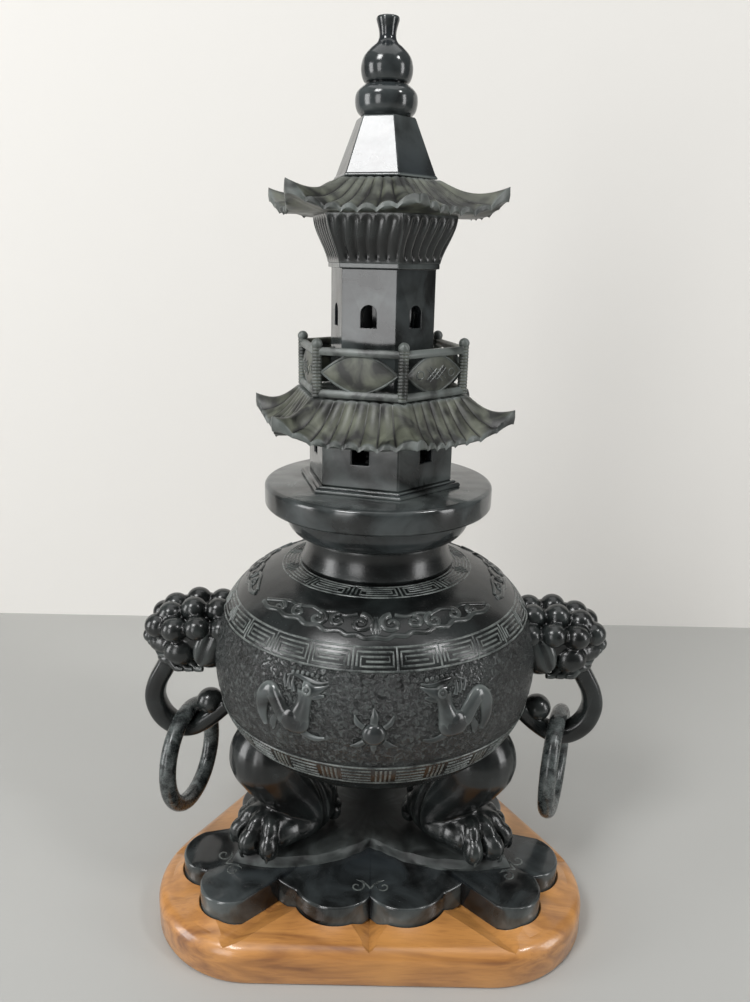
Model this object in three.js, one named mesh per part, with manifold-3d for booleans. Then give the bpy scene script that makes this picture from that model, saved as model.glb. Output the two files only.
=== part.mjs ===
// Carved stone incense burner: a tripod bowl on a lobed plinth and a wooden stand, with a pagoda for a lid.
// Millimetres, +Z up, the front faces -Y, and the origin is under the middle of the stand.
import * as THREE from "three";
import { mergeVertices } from "three/addons/utils/BufferGeometryUtils.js";
import Module from "manifold-3d";

const wasm = await Module();
wasm.setup();

const radians = THREE.MathUtils.degToRad;

// Fits
const SEAT_GAP = 0.3;
const SOCKET_BOTTOM_GAP = 0.5;

// Wooden stand: a triangle with round corners, and a recess for the plinth
const STAND_INRADIUS = 86;
const STAND_CORNER_RADIUS = 53;
const STAND_HEIGHT = 23;
const STAND_TOP_SLOPE = 3;
const STAND_EDGE_ROUND = 7;
const STAND_FOOT_CHAMFER = 2;
const RECESS_DEPTH = 4;
const RECESS_GAP = 0.6;
const NOTCH_DEPTH = 5;
const SIDE_NOTCH_WIDTH = 15;
const CORNER_NOTCH_WIDTH = 24;

// Plinth: three double lobes under the feet and three between them
const SLAB_THICKNESS = 13.5;
const SLAB_EDGE_BEVEL = 1;
const SLAB_CORE_RADIUS = 70.5;
const FOOT_LOBE_REACH = 88;
const FOOT_LOBE_SPREAD = radians(8.4);
const FOOT_LOBE_RADIUS = 15.7;
const SIDE_LOBE_REACH = 53.5;
const SIDE_LOBE_SPREAD = radians(18.6);
const SIDE_LOBE_RADIUS = 21.5;
const FOOT_PAD_HEIGHT = 5;
const FOOT_PAD_DRAFT = 1.5;
const FOOT_PAD_REACH = 78;
const FOOT_PAD_WAIST = 29;

// Legs: a lion's leg each, standing outwards on its paw
const LEG_HEIGHT = 49.5;
const LEG_CIRCLE = 54;
const PAW_LENGTH = 51;
const PAW_WIDTH = 37;
const PAW_HEIGHT = 26;
const ANKLE_WIDTH = 30;
const THIGH_WIDTH = 43;
const TOE_RADIUS = 6.5;
const TOES = 4;
const TUFT_RADIUS = 7;

// Bowl: its outline is an elliptic belly under a fuller shoulder, and a straight neck
const BOWL_FOOT_RADIUS = 45;
const BOWL_BELLY_RADIUS = 83;
const BOWL_BELLY_HEIGHT = 47;
const BOWL_SHOULDER_RISE = 50.5;
const BOWL_SHOULDER_FULLNESS = 2.3;
const BOWL_WALL = 9;
const NECK_RADIUS = 35.5;
const NECK_HEIGHT = 15.5;
const NECK_COVE = 5;
const NECK_BORE = 27;
const BAND_RELIEF = 0.8;
const LOWER_BAND = [17.5, 28.5];
const FRET_BAND = [75, 84.5];

// Mouth rim, standing in the neck
const RIM_HEIGHT = 14.5;
const RIM_TOP_RADIUS = 46.4;
const RIM_FOOT_RADIUS = 38;
const RIM_BORE = 22;
const RIM_SPIGOT_LENGTH = 6;
const LID_SEAT_RADIUS = 33;
const LID_SEAT_DEPTH = 5;

// Handles: a lion's head on each side, a strap curling from its mouth, and a loose ring
const HANDLE_HEIGHT = 57;
const HEAD_LENGTH = 44;
const HEAD_WIDTH = 38;
const HEAD_HEIGHT = 39;
const HEAD_STAND_OFF = 11.5;
const CURL_RADIUS = 5.6;
const NOSE_RADIUS = 4.5;
const STRAP_WIDTH = 11;
const STRAP_THICKNESS = 10;
const STRAP_DROP = 59;
const STRAP_REACH = 35;
const LOOP_BALL_RADIUS = 7.2;
const RING_RADIUS = 26.6;
const RING_TUBE_RADIUS = 4.4;
const RING_PLAY = 1.1;
const RING_TURNS = { left: radians(-14), right: radians(-20) };

// Lid disc
const DISC_RADIUS = 56;
const DISC_THICKNESS = 12;
const DISC_EDGE_ROUND = 2.5;
const VENT_RADIUS = 12;

// Pagoda: corners of its hexagons stand at this turn from +X
const HEX_TURN = radians(-76);
const STOREY_BASE_RADIUS = 41;
const STOREY_BASE_HEIGHT = 3;
const LOWER_STOREY_RADIUS = 36.4;
const LOWER_STOREY_HEIGHT = 22.5;
const STOREY_WALL = 5;
const LOWER_WINDOW_WIDTH = 8;
const LOWER_WINDOW_HEIGHT = 7.6;
const LOWER_WINDOW_SILL = 11.5;
const COLLAR_WALL = 1.7;
const TENON_LENGTH = 3;

const LOWER_ROOF_HEIGHT = 19.5;
const LOWER_EAVE_REACH = 51;
const LOWER_TIP_REACH = 65.5;
const LOWER_TIP_RISE = 15;
const UPPER_ROOF_HEIGHT = 15.5;
const UPPER_EAVE_REACH = 45;
const UPPER_TIP_REACH = 57;
const UPPER_TIP_RISE = 14;
const EAVE_THICKNESS = 2.4;
const EAVE_SAG = 2.5;
const TILE_RIBS = 7;
const TILE_RELIEF = 1.2;

const RAILING_RADIUS = 39.7;
const RAILING_HEIGHT = 22;
const RAIL_HEIGHT = 3.6;
const RAIL_WIDTH = 3.4;
const POST_RADIUS = 2.3;
const POST_CAP_RADIUS = 2.5;
const PANEL_THICKNESS = 2.4;

const UPPER_STOREY_RADIUS = 25.2;
const UPPER_STOREY_HEIGHT = 58;
const UPPER_WALL = 4.5;
const UPPER_WINDOW_WIDTH = 7.4;
const UPPER_WINDOW_HEIGHT = 10;
const UPPER_WINDOW_SILL = 30;
const MOULDING_HEIGHT = 2.4;
const MOULDING_RELIEF = 1.6;
const BRACKET_HEIGHT = 20.5;
const BRACKET_TOP_RADIUS = 34.4;

const SPIRE_HEIGHT = 25.5;
const SPIRE_FOOT_RADIUS = 24.3;
const SPIRE_TOP_RADIUS = 13.5;
const SPIRE_PEG_RADIUS = 8;
const SPIRE_PEG_LENGTH = 6;

const FINIAL_HEIGHT = 40;
const LOWER_GOURD_RADIUS = 13.8;
const UPPER_GOURD_RADIUS = 11.3;
const GOURD_WAIST_RADIUS = 8.9;
const FINIAL_NECK_RADIUS = 3.8;
const FINIAL_LIP_RADIUS = 5;
const FINIAL_PEG_RADIUS = 4;
const FINIAL_PEG_LENGTH = 8;

// Levels above the table
const BOWL_HEIGHT = BOWL_BELLY_HEIGHT + BOWL_SHOULDER_RISE + NECK_HEIGHT;
const SLAB_BOTTOM = STAND_HEIGHT - RECESS_DEPTH;
const SOLE = SLAB_BOTTOM + SLAB_THICKNESS + FOOT_PAD_HEIGHT;
const BOWL_BOTTOM = SOLE + LEG_HEIGHT;
const NECK_TOP = BOWL_BOTTOM + BOWL_HEIGHT;
const DISC_BOTTOM = NECK_TOP + RIM_HEIGHT;
const STOREY_BASE_BOTTOM = DISC_BOTTOM + DISC_THICKNESS;
const LOWER_STOREY_BOTTOM = STOREY_BASE_BOTTOM + STOREY_BASE_HEIGHT;
const LOWER_ROOF_BOTTOM = LOWER_STOREY_BOTTOM + LOWER_STOREY_HEIGHT;
const BALCONY = LOWER_ROOF_BOTTOM + LOWER_ROOF_HEIGHT;
const BRACKET_BOTTOM = BALCONY + UPPER_STOREY_HEIGHT;
const UPPER_ROOF_BOTTOM = BRACKET_BOTTOM + BRACKET_HEIGHT;
const SPIRE_BOTTOM = UPPER_ROOF_BOTTOM + UPPER_ROOF_HEIGHT;
const FINIAL_BOTTOM = SPIRE_BOTTOM + SPIRE_HEIGHT;

const FLUE_RADIUS = VENT_RADIUS - SEAT_GAP - COLLAR_WALL;
const FOOT_DIRECTIONS = { front_left: radians(-150), front_right: radians(-30), rear: radians(90) };
const FOOT_TURN = radians(90);
const THIRD_TURN = (2 * Math.PI) / 3;
const SIXTH_TURN = Math.PI / 3;
const HEX_INRADIUS = Math.cos(Math.PI / 6);
const ROUND_SEGMENTS = 36;
const SMALL_ROUND_SEGMENTS = 16;
const LOBE_SEGMENTS = 90;
const STAND_SEGMENTS = 54;

// Materials
const polishedStone = new THREE.MeshStandardMaterial({ color: 0x26282a, roughness: 0.25, metalness: 0 });
const carvedStone = new THREE.MeshStandardMaterial({ color: 0x3b3e3e, roughness: 0.5, metalness: 0 });
const roofStone = new THREE.MeshStandardMaterial({ color: 0x50534c, roughness: 0.6, metalness: 0 });
const ringStone = new THREE.MeshStandardMaterial({ color: 0x565a5b, roughness: 0.35, metalness: 0 });
const lacqueredWood = new THREE.MeshStandardMaterial({ color: 0xa56c35, roughness: 0.35, metalness: 0 });

// Turn a closed geometry into a solid that can be joined and cut.
function solid(geometry) {
  const bare = geometry.clone();
  bare.deleteAttribute("normal");
  bare.deleteAttribute("uv");
  const merged = mergeVertices(bare, 1e-4);
  return new wasm.Manifold(
    new wasm.Mesh({
      numProp: 3,
      vertProperties: merged.attributes.position.array,
      triVerts: new Uint32Array(merged.index.array),
    }),
  );
}

// Turn a solid back into a geometry to draw.
function geometryOf(body) {
  const mesh = body.getMesh();
  const geometry = new THREE.BufferGeometry();
  geometry.setAttribute("position", new THREE.BufferAttribute(new Float32Array(mesh.vertProperties), 3));
  geometry.setIndex(new THREE.BufferAttribute(new Uint32Array(mesh.triVerts), 1));
  geometry.computeVertexNormals();
  return geometry;
}

function joined(bodies) {
  return bodies.reduce((whole, body) => whole.add(body));
}

// Skin a closed body round the Z axis. Each direction has one closed outline of [radius, height]
// points, which run out along the underside, up the outside and back in along the top.
function skin(steps, outlineAt, startAngle = 0) {
  const positions = [];
  const triangles = [];
  let count = 0;
  for (let step = 0; step < steps; step++) {
    const angle = startAngle + (step * 2 * Math.PI) / steps;
    const outline = outlineAt(angle, step);
    count = outline.length;
    for (const [radius, height] of outline) {
      positions.push(radius * Math.cos(angle), radius * Math.sin(angle), height);
    }
  }
  for (let step = 0; step < steps; step++) {
    const next = (step + 1) % steps;
    for (let i = 0; i < count; i++) {
      const j = (i + 1) % count;
      const corners = [step * count + i, next * count + i, next * count + j, step * count + j];
      triangles.push(corners[0], corners[1], corners[2]);
      triangles.push(corners[0], corners[2], corners[3]);
    }
  }
  const geometry = new THREE.BufferGeometry();
  geometry.setAttribute("position", new THREE.BufferAttribute(new Float32Array(positions), 3));
  geometry.setIndex(triangles);
  return solid(geometry);
}

// Stack closed elliptic sections, from the lowest up, into one body.
function stacked(sections, steps) {
  const positions = [];
  const triangles = [];
  for (const { x, z, length, width } of sections) {
    for (let step = 0; step < steps; step++) {
      const angle = (step * 2 * Math.PI) / steps;
      positions.push(x + (length / 2) * Math.cos(angle), (width / 2) * Math.sin(angle), z);
    }
  }
  for (let row = 0; row + 1 < sections.length; row++) {
    for (let step = 0; step < steps; step++) {
      const next = (step + 1) % steps;
      const low = row * steps;
      const high = low + steps;
      triangles.push(low + step, low + next, high + next);
      triangles.push(low + step, high + next, high + step);
    }
  }
  const top = (sections.length - 1) * steps;
  for (let step = 1; step + 1 < steps; step++) {
    triangles.push(0, step + 1, step);
    triangles.push(top, top + step, top + step + 1);
  }
  const geometry = new THREE.BufferGeometry();
  geometry.setAttribute("position", new THREE.BufferAttribute(new Float32Array(positions), 3));
  geometry.setIndex(triangles);
  return solid(geometry);
}

// Lathe an outline of [radius, height] points that starts and ends on the axis, or closes on itself.
function lathe(outline, segments = ROUND_SEGMENTS, startAngle = 0) {
  const points = outline.map(([radius, height]) => new THREE.Vector2(radius, height));
  const geometry = new THREE.LatheGeometry(points, segments, startAngle + Math.PI / 2);
  return solid(geometry.rotateX(Math.PI / 2));
}

function cylinder(radius, bottom, top, segments = SMALL_ROUND_SEGMENTS) {
  const outline = [[0, bottom], [radius, bottom], [radius, top], [0, top]];
  return lathe(outline, segments);
}

function hexPrism(radius, bottom, top) {
  const outline = [[0, bottom], [radius, bottom], [radius, top], [0, top]];
  return lathe(outline, 6, HEX_TURN);
}

function ellipsoid(centre, radii, across = 12, down = 8) {
  const geometry = new THREE.SphereGeometry(1, across, down);
  geometry.rotateX(Math.PI / 2);
  geometry.scale(radii[0], radii[1], radii[2]);
  geometry.translate(centre[0], centre[1], centre[2]);
  return solid(geometry);
}

// Fold a direction into the half sixth between a corner, 0, and the middle of a side, 1.
function sideShare(angle, cornerAngle, turn) {
  const fromCorner = THREE.MathUtils.euclideanModulo(angle - cornerAngle, turn);
  return Math.min(fromCorner, turn - fromCorner) / (turn / 2);
}

// Distance from the axis to the far side of a circle, in the direction of angle.
function circleReach(angle, centreReach, centreAngle, radius) {
  const offset = centreReach * Math.sin(angle - centreAngle);
  if (Math.abs(offset) > radius || Math.cos(angle - centreAngle) < 0) return 0;
  return centreReach * Math.cos(angle - centreAngle) + Math.sqrt(radius * radius - offset * offset);
}

// Wooden stand
function standReach(angle, inset) {
  const inradius = STAND_INRADIUS - inset;
  const cornerRadius = Math.max(STAND_CORNER_RADIUS - inset, 1);
  const fromCorner = (sideShare(angle, FOOT_TURN, THIRD_TURN) * THIRD_TURN) / 2;
  const side = inradius / Math.cos(SIXTH_TURN - fromCorner);
  const corner = circleReach(fromCorner, 2 * (inradius - cornerRadius), 0, cornerRadius);
  const along = inradius * Math.tan(SIXTH_TURN - fromCorner);
  const straightHalf = (inradius - cornerRadius) * Math.tan(SIXTH_TURN);
  return along < straightHalf ? side : corner;
}

function notchCut(angle, innerReach, width) {
  const outerReach = STAND_INRADIUS * 2;
  const slope = NOTCH_DEPTH / (STAND_INRADIUS - innerReach);
  const lift = 1;
  const halfAngle = Math.atan2(width / 2, NOTCH_DEPTH);
  const shape = new THREE.Shape();
  const length = outerReach - innerReach;
  const height = length * slope + lift;
  shape.moveTo(0, 0);
  shape.lineTo(height * Math.tan(halfAngle), height);
  shape.lineTo(-height * Math.tan(halfAngle), height);
  shape.closePath();
  const geometry = new THREE.ExtrudeGeometry(shape, { depth: length, bevelEnabled: false });
  // The extrusion runs outwards along X, and its apex sinks as it goes.
  geometry.rotateX(Math.PI / 2);
  geometry.rotateZ(Math.PI / 2);
  geometry.rotateY(Math.atan(slope));
  geometry.translate(innerReach, 0, STAND_HEIGHT);
  geometry.rotateZ(angle);
  return solid(geometry);
}

function standBody() {
  const sideTop = STAND_HEIGHT - STAND_TOP_SLOPE;
  const round = STAND_EDGE_ROUND;
  const levels = [[STAND_FOOT_CHAMFER, 0], [0, STAND_FOOT_CHAMFER]];
  for (let step = 0; step <= 3; step++) {
    const turn = (step * Math.PI) / 6;
    levels.push([round * (1 - Math.cos(turn)), sideTop - round * (1 - Math.sin(turn))]);
  }
  levels.push([2 * round, STAND_HEIGHT]);
  const block = skin(STAND_SEGMENTS, (angle) => [
    [0, 0],
    ...levels.map(([inset, height]) => [standReach(angle, inset), height]),
    [0, STAND_HEIGHT],
  ]);
  const recess = skin(LOBE_SEGMENTS, (angle) => [
    [0, SLAB_BOTTOM],
    [slabReach(angle) + RECESS_GAP, SLAB_BOTTOM],
    [slabReach(angle) + RECESS_GAP, STAND_HEIGHT + 1],
    [0, STAND_HEIGHT + 1],
  ], FOOT_TURN);
  const cuspReach = SLAB_CORE_RADIUS - NOTCH_DEPTH;
  const notchTurn = THIRD_TURN / 6;
  let body = block.subtract(recess);
  for (const footDirection of Object.values(FOOT_DIRECTIONS)) {
    body = body.subtract(notchCut(footDirection + SIXTH_TURN, cuspReach, SIDE_NOTCH_WIDTH));
    body = body.subtract(notchCut(footDirection + notchTurn, SLAB_CORE_RADIUS, CORNER_NOTCH_WIDTH));
    body = body.subtract(notchCut(footDirection - notchTurn, SLAB_CORE_RADIUS, CORNER_NOTCH_WIDTH));
  }
  return body;
}

// Plinth
function slabReach(angle) {
  let reach = SLAB_CORE_RADIUS;
  for (const footDirection of Object.values(FOOT_DIRECTIONS)) {
    for (const side of [-1, 1]) {
      const footLobe = footDirection + side * FOOT_LOBE_SPREAD;
      const sideLobe = footDirection + SIXTH_TURN + side * SIDE_LOBE_SPREAD;
      reach = Math.max(
        reach,
        circleReach(angle, FOOT_LOBE_REACH, footLobe, FOOT_LOBE_RADIUS),
        circleReach(angle, SIDE_LOBE_REACH, sideLobe, SIDE_LOBE_RADIUS),
      );
    }
  }
  // The cusp between two side lobes cuts into the round core.
  const fromSide = (1 - sideShare(angle, FOOT_TURN, THIRD_TURN)) * SIXTH_TURN;
  if (fromSide < SIDE_LOBE_SPREAD) {
    reach = circleReach(fromSide, SIDE_LOBE_REACH, SIDE_LOBE_SPREAD, SIDE_LOBE_RADIUS);
  }
  return reach;
}

function slabBody() {
  const plate = skin(LOBE_SEGMENTS, (angle) => [
    [0, 0],
    [slabReach(angle), 0],
    [slabReach(angle), SLAB_THICKNESS - SLAB_EDGE_BEVEL],
    [slabReach(angle) - SLAB_EDGE_BEVEL, SLAB_THICKNESS],
    [0, SLAB_THICKNESS],
  ], FOOT_TURN);
  const padTop = SLAB_THICKNESS + FOOT_PAD_HEIGHT;
  const pad = skin(36, (angle) => {
    const towardsFoot = (1 - sideShare(angle, FOOT_TURN, THIRD_TURN)) ** 1.5;
    const reach = FOOT_PAD_WAIST + (FOOT_PAD_REACH - FOOT_PAD_WAIST) * towardsFoot;
    return [
      [0, SLAB_THICKNESS - SLAB_EDGE_BEVEL],
      [reach, SLAB_THICKNESS - SLAB_EDGE_BEVEL],
      [reach - FOOT_PAD_DRAFT, padTop],
      [0, padTop],
    ];
  }, FOOT_TURN);
  return plate.add(pad);
}

// Distance from the axis to the outside of the bowl at a height over its underside.
// Grow moves the outline outwards.
function bowlReach(height, grow = 0) {
  if (height < BOWL_BELLY_HEIGHT) {
    const share = (BOWL_BELLY_HEIGHT - height) / (BOWL_BELLY_HEIGHT + grow);
    const bulge = Math.sqrt(Math.max(1 - share * share, 0));
    return BOWL_FOOT_RADIUS + (BOWL_BELLY_RADIUS + grow - BOWL_FOOT_RADIUS) * bulge;
  }
  const axisSide = NECK_RADIUS - NECK_COVE;
  const share = (height - BOWL_BELLY_HEIGHT) / (BOWL_SHOULDER_RISE + grow);
  const fullness = BOWL_SHOULDER_FULLNESS;
  const bulge = Math.max(1 - share ** fullness, 0) ** (1 / fullness);
  return axisSide + (BOWL_BELLY_RADIUS + grow - axisSide) * bulge;
}

// Outside of the bowl, from the underside to the foot of the neck.
function bowlOutline(grow, relief) {
  const bottom = -grow;
  const drop = BOWL_BELLY_HEIGHT + grow;
  const outline = [[0, bottom], [BOWL_FOOT_RADIUS, bottom]];
  const banded = (height) => {
    const bands = [LOWER_BAND, FRET_BAND];
    return bands.some(([low, high]) => height > low && height < high) ? relief : 0;
  };
  const heights = [];
  for (let step = 1; step <= 5; step++) {
    heights.push(BOWL_BELLY_HEIGHT - drop * Math.cos((step * Math.PI) / 10));
  }
  for (const share of [0.2, 0.38, 0.82, 0.9]) {
    heights.push(BOWL_BELLY_HEIGHT + BOWL_SHOULDER_RISE * share);
  }
  const edgeHalf = 0.05;
  for (const edge of [...LOWER_BAND, ...FRET_BAND]) {
    heights.push(edge - edgeHalf, edge + edgeHalf);
  }
  heights.sort((a, b) => a - b);
  for (const height of heights) outline.push([bowlReach(height, grow) + banded(height), height]);
  return outline;
}

// The bowl and the gap around it, closed on the axis.
function bowlSpaceOutline() {
  return [...bowlOutline(SEAT_GAP, BAND_RELIEF), [0, BOWL_BELLY_HEIGHT + BOWL_SHOULDER_RISE]];
}

function bowlBody() {
  const neckFoot = BOWL_BELLY_HEIGHT + BOWL_SHOULDER_RISE * 0.965;
  const outside = [
    ...bowlOutline(0, BAND_RELIEF),
    [bowlReach(neckFoot), neckFoot],
    [NECK_RADIUS + NECK_COVE / 5, THREE.MathUtils.lerp(neckFoot, BOWL_HEIGHT, 0.3)],
    [NECK_RADIUS, THREE.MathUtils.lerp(neckFoot, BOWL_HEIGHT, 0.6)],
    [NECK_RADIUS + NECK_COVE / 10, BOWL_HEIGHT],
  ];
  const inside = [];
  const halfWidth = BOWL_BELLY_RADIUS - BOWL_WALL - NECK_BORE;
  const rise = BOWL_SHOULDER_RISE - BOWL_WALL;
  for (let step = 0; step <= 4; step++) {
    const turn = (step * Math.PI) / 8;
    const reach = NECK_BORE + halfWidth * Math.sin(turn) ** (2 / BOWL_SHOULDER_FULLNESS);
    inside.push([reach, BOWL_BELLY_HEIGHT + rise * Math.cos(turn) ** (2 / BOWL_SHOULDER_FULLNESS)]);
  }
  const floor = BOWL_WALL + 1;
  const floorRadius = BOWL_FOOT_RADIUS - BOWL_WALL;
  for (let step = 1; step <= 3; step++) {
    const turn = (step * Math.PI) / 6;
    const reach = floorRadius + (BOWL_BELLY_RADIUS - BOWL_WALL - floorRadius) * Math.cos(turn);
    inside.push([reach, BOWL_BELLY_HEIGHT - (BOWL_BELLY_HEIGHT - floor) * Math.sin(turn)]);
  }
  return lathe([...outside, [NECK_BORE, BOWL_HEIGHT], ...inside, [0, floor]]);
}

// Leg, its foot pointing along +X, from the sole up
function legBody() {
  const ankle = PAW_HEIGHT + 7;
  const bulge = LEG_HEIGHT + 1;
  const sections = [
    { x: LEG_CIRCLE, z: 0, length: PAW_LENGTH, width: PAW_WIDTH },
    { x: LEG_CIRCLE + 1, z: PAW_HEIGHT * 0.35, length: PAW_LENGTH + 2, width: PAW_WIDTH + 2 },
    { x: LEG_CIRCLE, z: PAW_HEIGHT * 0.7, length: PAW_LENGTH - 1, width: PAW_WIDTH },
    { x: LEG_CIRCLE - 3, z: PAW_HEIGHT, length: PAW_LENGTH - 9, width: PAW_WIDTH - 4 },
    { x: LEG_CIRCLE - 6, z: ankle, length: ANKLE_WIDTH + 8, width: ANKLE_WIDTH },
    { x: LEG_CIRCLE - 3, z: (ankle + bulge) / 2, length: THIGH_WIDTH, width: THIGH_WIDTH - 6 },
    { x: LEG_CIRCLE, z: bulge, length: THIGH_WIDTH + 3, width: THIGH_WIDTH },
    { x: LEG_CIRCLE + 1, z: bulge + 9, length: THIGH_WIDTH + 1, width: THIGH_WIDTH },
    { x: LEG_CIRCLE + 2, z: bulge + 22, length: THIGH_WIDTH - 10, width: THIGH_WIDTH - 8 },
  ];
  const shapes = [stacked(sections, 14)];
  const toeCircle = PAW_WIDTH / 2 - TOE_RADIUS / 2;
  const pawEnd = LEG_CIRCLE + PAW_LENGTH / 2 - toeCircle - 1;
  for (let toe = 0; toe < TOES; toe++) {
    const turn = radians(-60 + (120 * toe) / (TOES - 1));
    const centre = [pawEnd + toeCircle * Math.cos(turn), toeCircle * Math.sin(turn), TOE_RADIUS - 1];
    shapes.push(ellipsoid(centre, [TOE_RADIUS + 1, TOE_RADIUS - 0.5, TOE_RADIUS + 1], 7, 5));
  }
  const tuft = [LEG_CIRCLE - PAW_LENGTH / 2 + 3, 0, LEG_HEIGHT / 2];
  shapes.push(ellipsoid(tuft, [TUFT_RADIUS, TUFT_RADIUS + 2, LEG_HEIGHT / 2 - 2], 8, 6));
  const underSole = cylinder(2 * FOOT_LOBE_REACH, -LEG_HEIGHT, 0, 12);
  const bowlSpace = geometryOf(lathe(bowlSpaceOutline()));
  bowlSpace.translate(0, 0, LEG_HEIGHT);
  return joined(shapes).subtract(underSole).subtract(solid(bowlSpace));
}

// Mouth rim, from the top of the neck up
function rimBody() {
  const outline = [
    [RIM_BORE, -RIM_SPIGOT_LENGTH],
    [NECK_BORE - SEAT_GAP, -RIM_SPIGOT_LENGTH],
    [NECK_BORE - SEAT_GAP, 0],
    [RIM_FOOT_RADIUS, 0],
  ];
  for (let step = 1; step <= 3; step++) {
    const turn = (step * Math.PI) / 6;
    const swell = (RIM_TOP_RADIUS - RIM_FOOT_RADIUS) * Math.sin(turn);
    outline.push([RIM_FOOT_RADIUS + swell, (RIM_HEIGHT - 1.5) * (1 - Math.cos(turn))]);
  }
  outline.push([RIM_TOP_RADIUS - 1, RIM_HEIGHT]);
  outline.push([LID_SEAT_RADIUS, RIM_HEIGHT]);
  outline.push([LID_SEAT_RADIUS, RIM_HEIGHT - LID_SEAT_DEPTH]);
  outline.push([RIM_BORE, RIM_HEIGHT - LID_SEAT_DEPTH]);
  outline.push(outline[0]);
  return lathe(outline);
}

// Lid disc, from its underside up
function discBody() {
  const round = DISC_EDGE_ROUND;
  const spigotBottom = SOCKET_BOTTOM_GAP - LID_SEAT_DEPTH;
  const outline = [
    [VENT_RADIUS, spigotBottom],
    [LID_SEAT_RADIUS - SEAT_GAP, spigotBottom],
    [LID_SEAT_RADIUS - SEAT_GAP, 0],
    [DISC_RADIUS - round, 0],
    [DISC_RADIUS, round],
    [DISC_RADIUS, DISC_THICKNESS - round],
    [DISC_RADIUS - round * 0.3, DISC_THICKNESS - round * 0.3],
    [DISC_RADIUS - round, DISC_THICKNESS],
    [VENT_RADIUS, DISC_THICKNESS],
    [VENT_RADIUS, spigotBottom],
  ];
  return lathe(outline);
}

// Hexagonal base of the pagoda, with a collar in the vent of the disc
function storeyBaseBody() {
  const collar = cylinder(VENT_RADIUS - SEAT_GAP, -TENON_LENGTH, STOREY_BASE_HEIGHT / 2);
  const hollow = cylinder(FLUE_RADIUS, -TENON_LENGTH - 1, STOREY_BASE_HEIGHT + 1);
  return hexPrism(STOREY_BASE_RADIUS, 0, STOREY_BASE_HEIGHT).add(collar).subtract(hollow);
}

function hollowRadius(radius, wall) {
  return radius - wall / HEX_INRADIUS;
}

function windowCut({ width, height, sill, arched }, reach) {
  const shape = new THREE.Shape();
  shape.moveTo(-width / 2, sill);
  shape.lineTo(width / 2, sill);
  if (arched) {
    const spring = sill + height - width / 2;
    shape.lineTo(width / 2, spring);
    for (let step = 1; step < 6; step++) {
      const turn = (step * Math.PI) / 6;
      shape.lineTo((width / 2) * Math.cos(turn), spring + (width / 2) * Math.sin(turn));
    }
    shape.lineTo(-width / 2, spring);
  } else {
    shape.lineTo(width / 2, sill + height);
    shape.lineTo(-width / 2, sill + height);
  }
  shape.closePath();
  const geometry = new THREE.ExtrudeGeometry(shape, { depth: reach, bevelEnabled: false });
  geometry.rotateX(Math.PI / 2);
  geometry.rotateZ(Math.PI / 2);
  return geometry;
}

function withWindows(body, reach, opening) {
  let pierced = body;
  for (let side = 0; side < 6; side++) {
    const cut = windowCut(opening, reach);
    cut.rotateZ(HEX_TURN + (side + 0.5) * SIXTH_TURN);
    pierced = pierced.subtract(solid(cut));
  }
  return pierced;
}

function lowerStoreyBody() {
  const walls = hexPrism(LOWER_STOREY_RADIUS, 0, LOWER_STOREY_HEIGHT);
  const hollow = hexPrism(hollowRadius(LOWER_STOREY_RADIUS, STOREY_WALL), -1, LOWER_STOREY_HEIGHT + 1);
  const storey = walls.subtract(hollow);
  const opening = {
    width: LOWER_WINDOW_WIDTH,
    height: LOWER_WINDOW_HEIGHT,
    sill: LOWER_WINDOW_SILL,
    arched: false,
  };
  return withWindows(storey, LOWER_STOREY_RADIUS, opening);
}

// Hexagonal tiled roof with turned-up corners, from its underside up
function roofBody(height, topRadius, underRadius, eaveReach, tipReach, tipRise) {
  const stepsPerSide = 2 * TILE_RIBS;
  const straightCorner = eaveReach / HEX_INRADIUS;
  return skin(6 * stepsPerSide, (angle, step) => {
    const corner = 1 - sideShare(angle, HEX_TURN, SIXTH_TURN);
    const flatSide = 1 / Math.cos((corner * SIXTH_TURN) / 2);
    const top = topRadius * HEX_INRADIUS * flatSide;
    const under = underRadius * HEX_INRADIUS * flatSide;
    const eave = eaveReach * flatSide + (tipReach - straightCorner) * corner ** 3;
    const eaveTop = EAVE_THICKNESS + (tipRise - EAVE_THICKNESS) * corner ** 3;
    const groove = step % 2 === 0 ? 0 : TILE_RELIEF;
    const outline = [
      [0, 0],
      [under, 0],
      [eave - 1, eaveTop - EAVE_THICKNESS],
      [eave, eaveTop - EAVE_THICKNESS / 2 - groove / 2],
    ];
    for (const share of [0.97, 0.55]) {
      const sag = EAVE_SAG * (1 + corner) * Math.sin(Math.PI * share);
      const surface = THREE.MathUtils.lerp(height, eaveTop, share) - sag;
      outline.push([THREE.MathUtils.lerp(top, eave, share), surface - groove]);
    }
    outline.push([top, height], [0, height]);
    return outline;
  }, HEX_TURN);
}

function lowerRoofBody() {
  const plugRadius = hollowRadius(LOWER_STOREY_RADIUS, STOREY_WALL) * HEX_INRADIUS - SEAT_GAP;
  const collarRadius = hollowRadius(UPPER_STOREY_RADIUS, UPPER_WALL) * HEX_INRADIUS - SEAT_GAP;
  const roof = roofBody(
    LOWER_ROOF_HEIGHT,
    RAILING_RADIUS + POST_RADIUS,
    LOWER_STOREY_RADIUS + 2,
    LOWER_EAVE_REACH,
    LOWER_TIP_REACH,
    LOWER_TIP_RISE,
  );
  return roof
    .add(cylinder(plugRadius, -TENON_LENGTH, 1))
    .add(cylinder(collarRadius, LOWER_ROOF_HEIGHT - 1, LOWER_ROOF_HEIGHT + TENON_LENGTH))
    .subtract(cylinder(FLUE_RADIUS, -TENON_LENGTH - 1, LOWER_ROOF_HEIGHT + TENON_LENGTH + 1));
}

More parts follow.
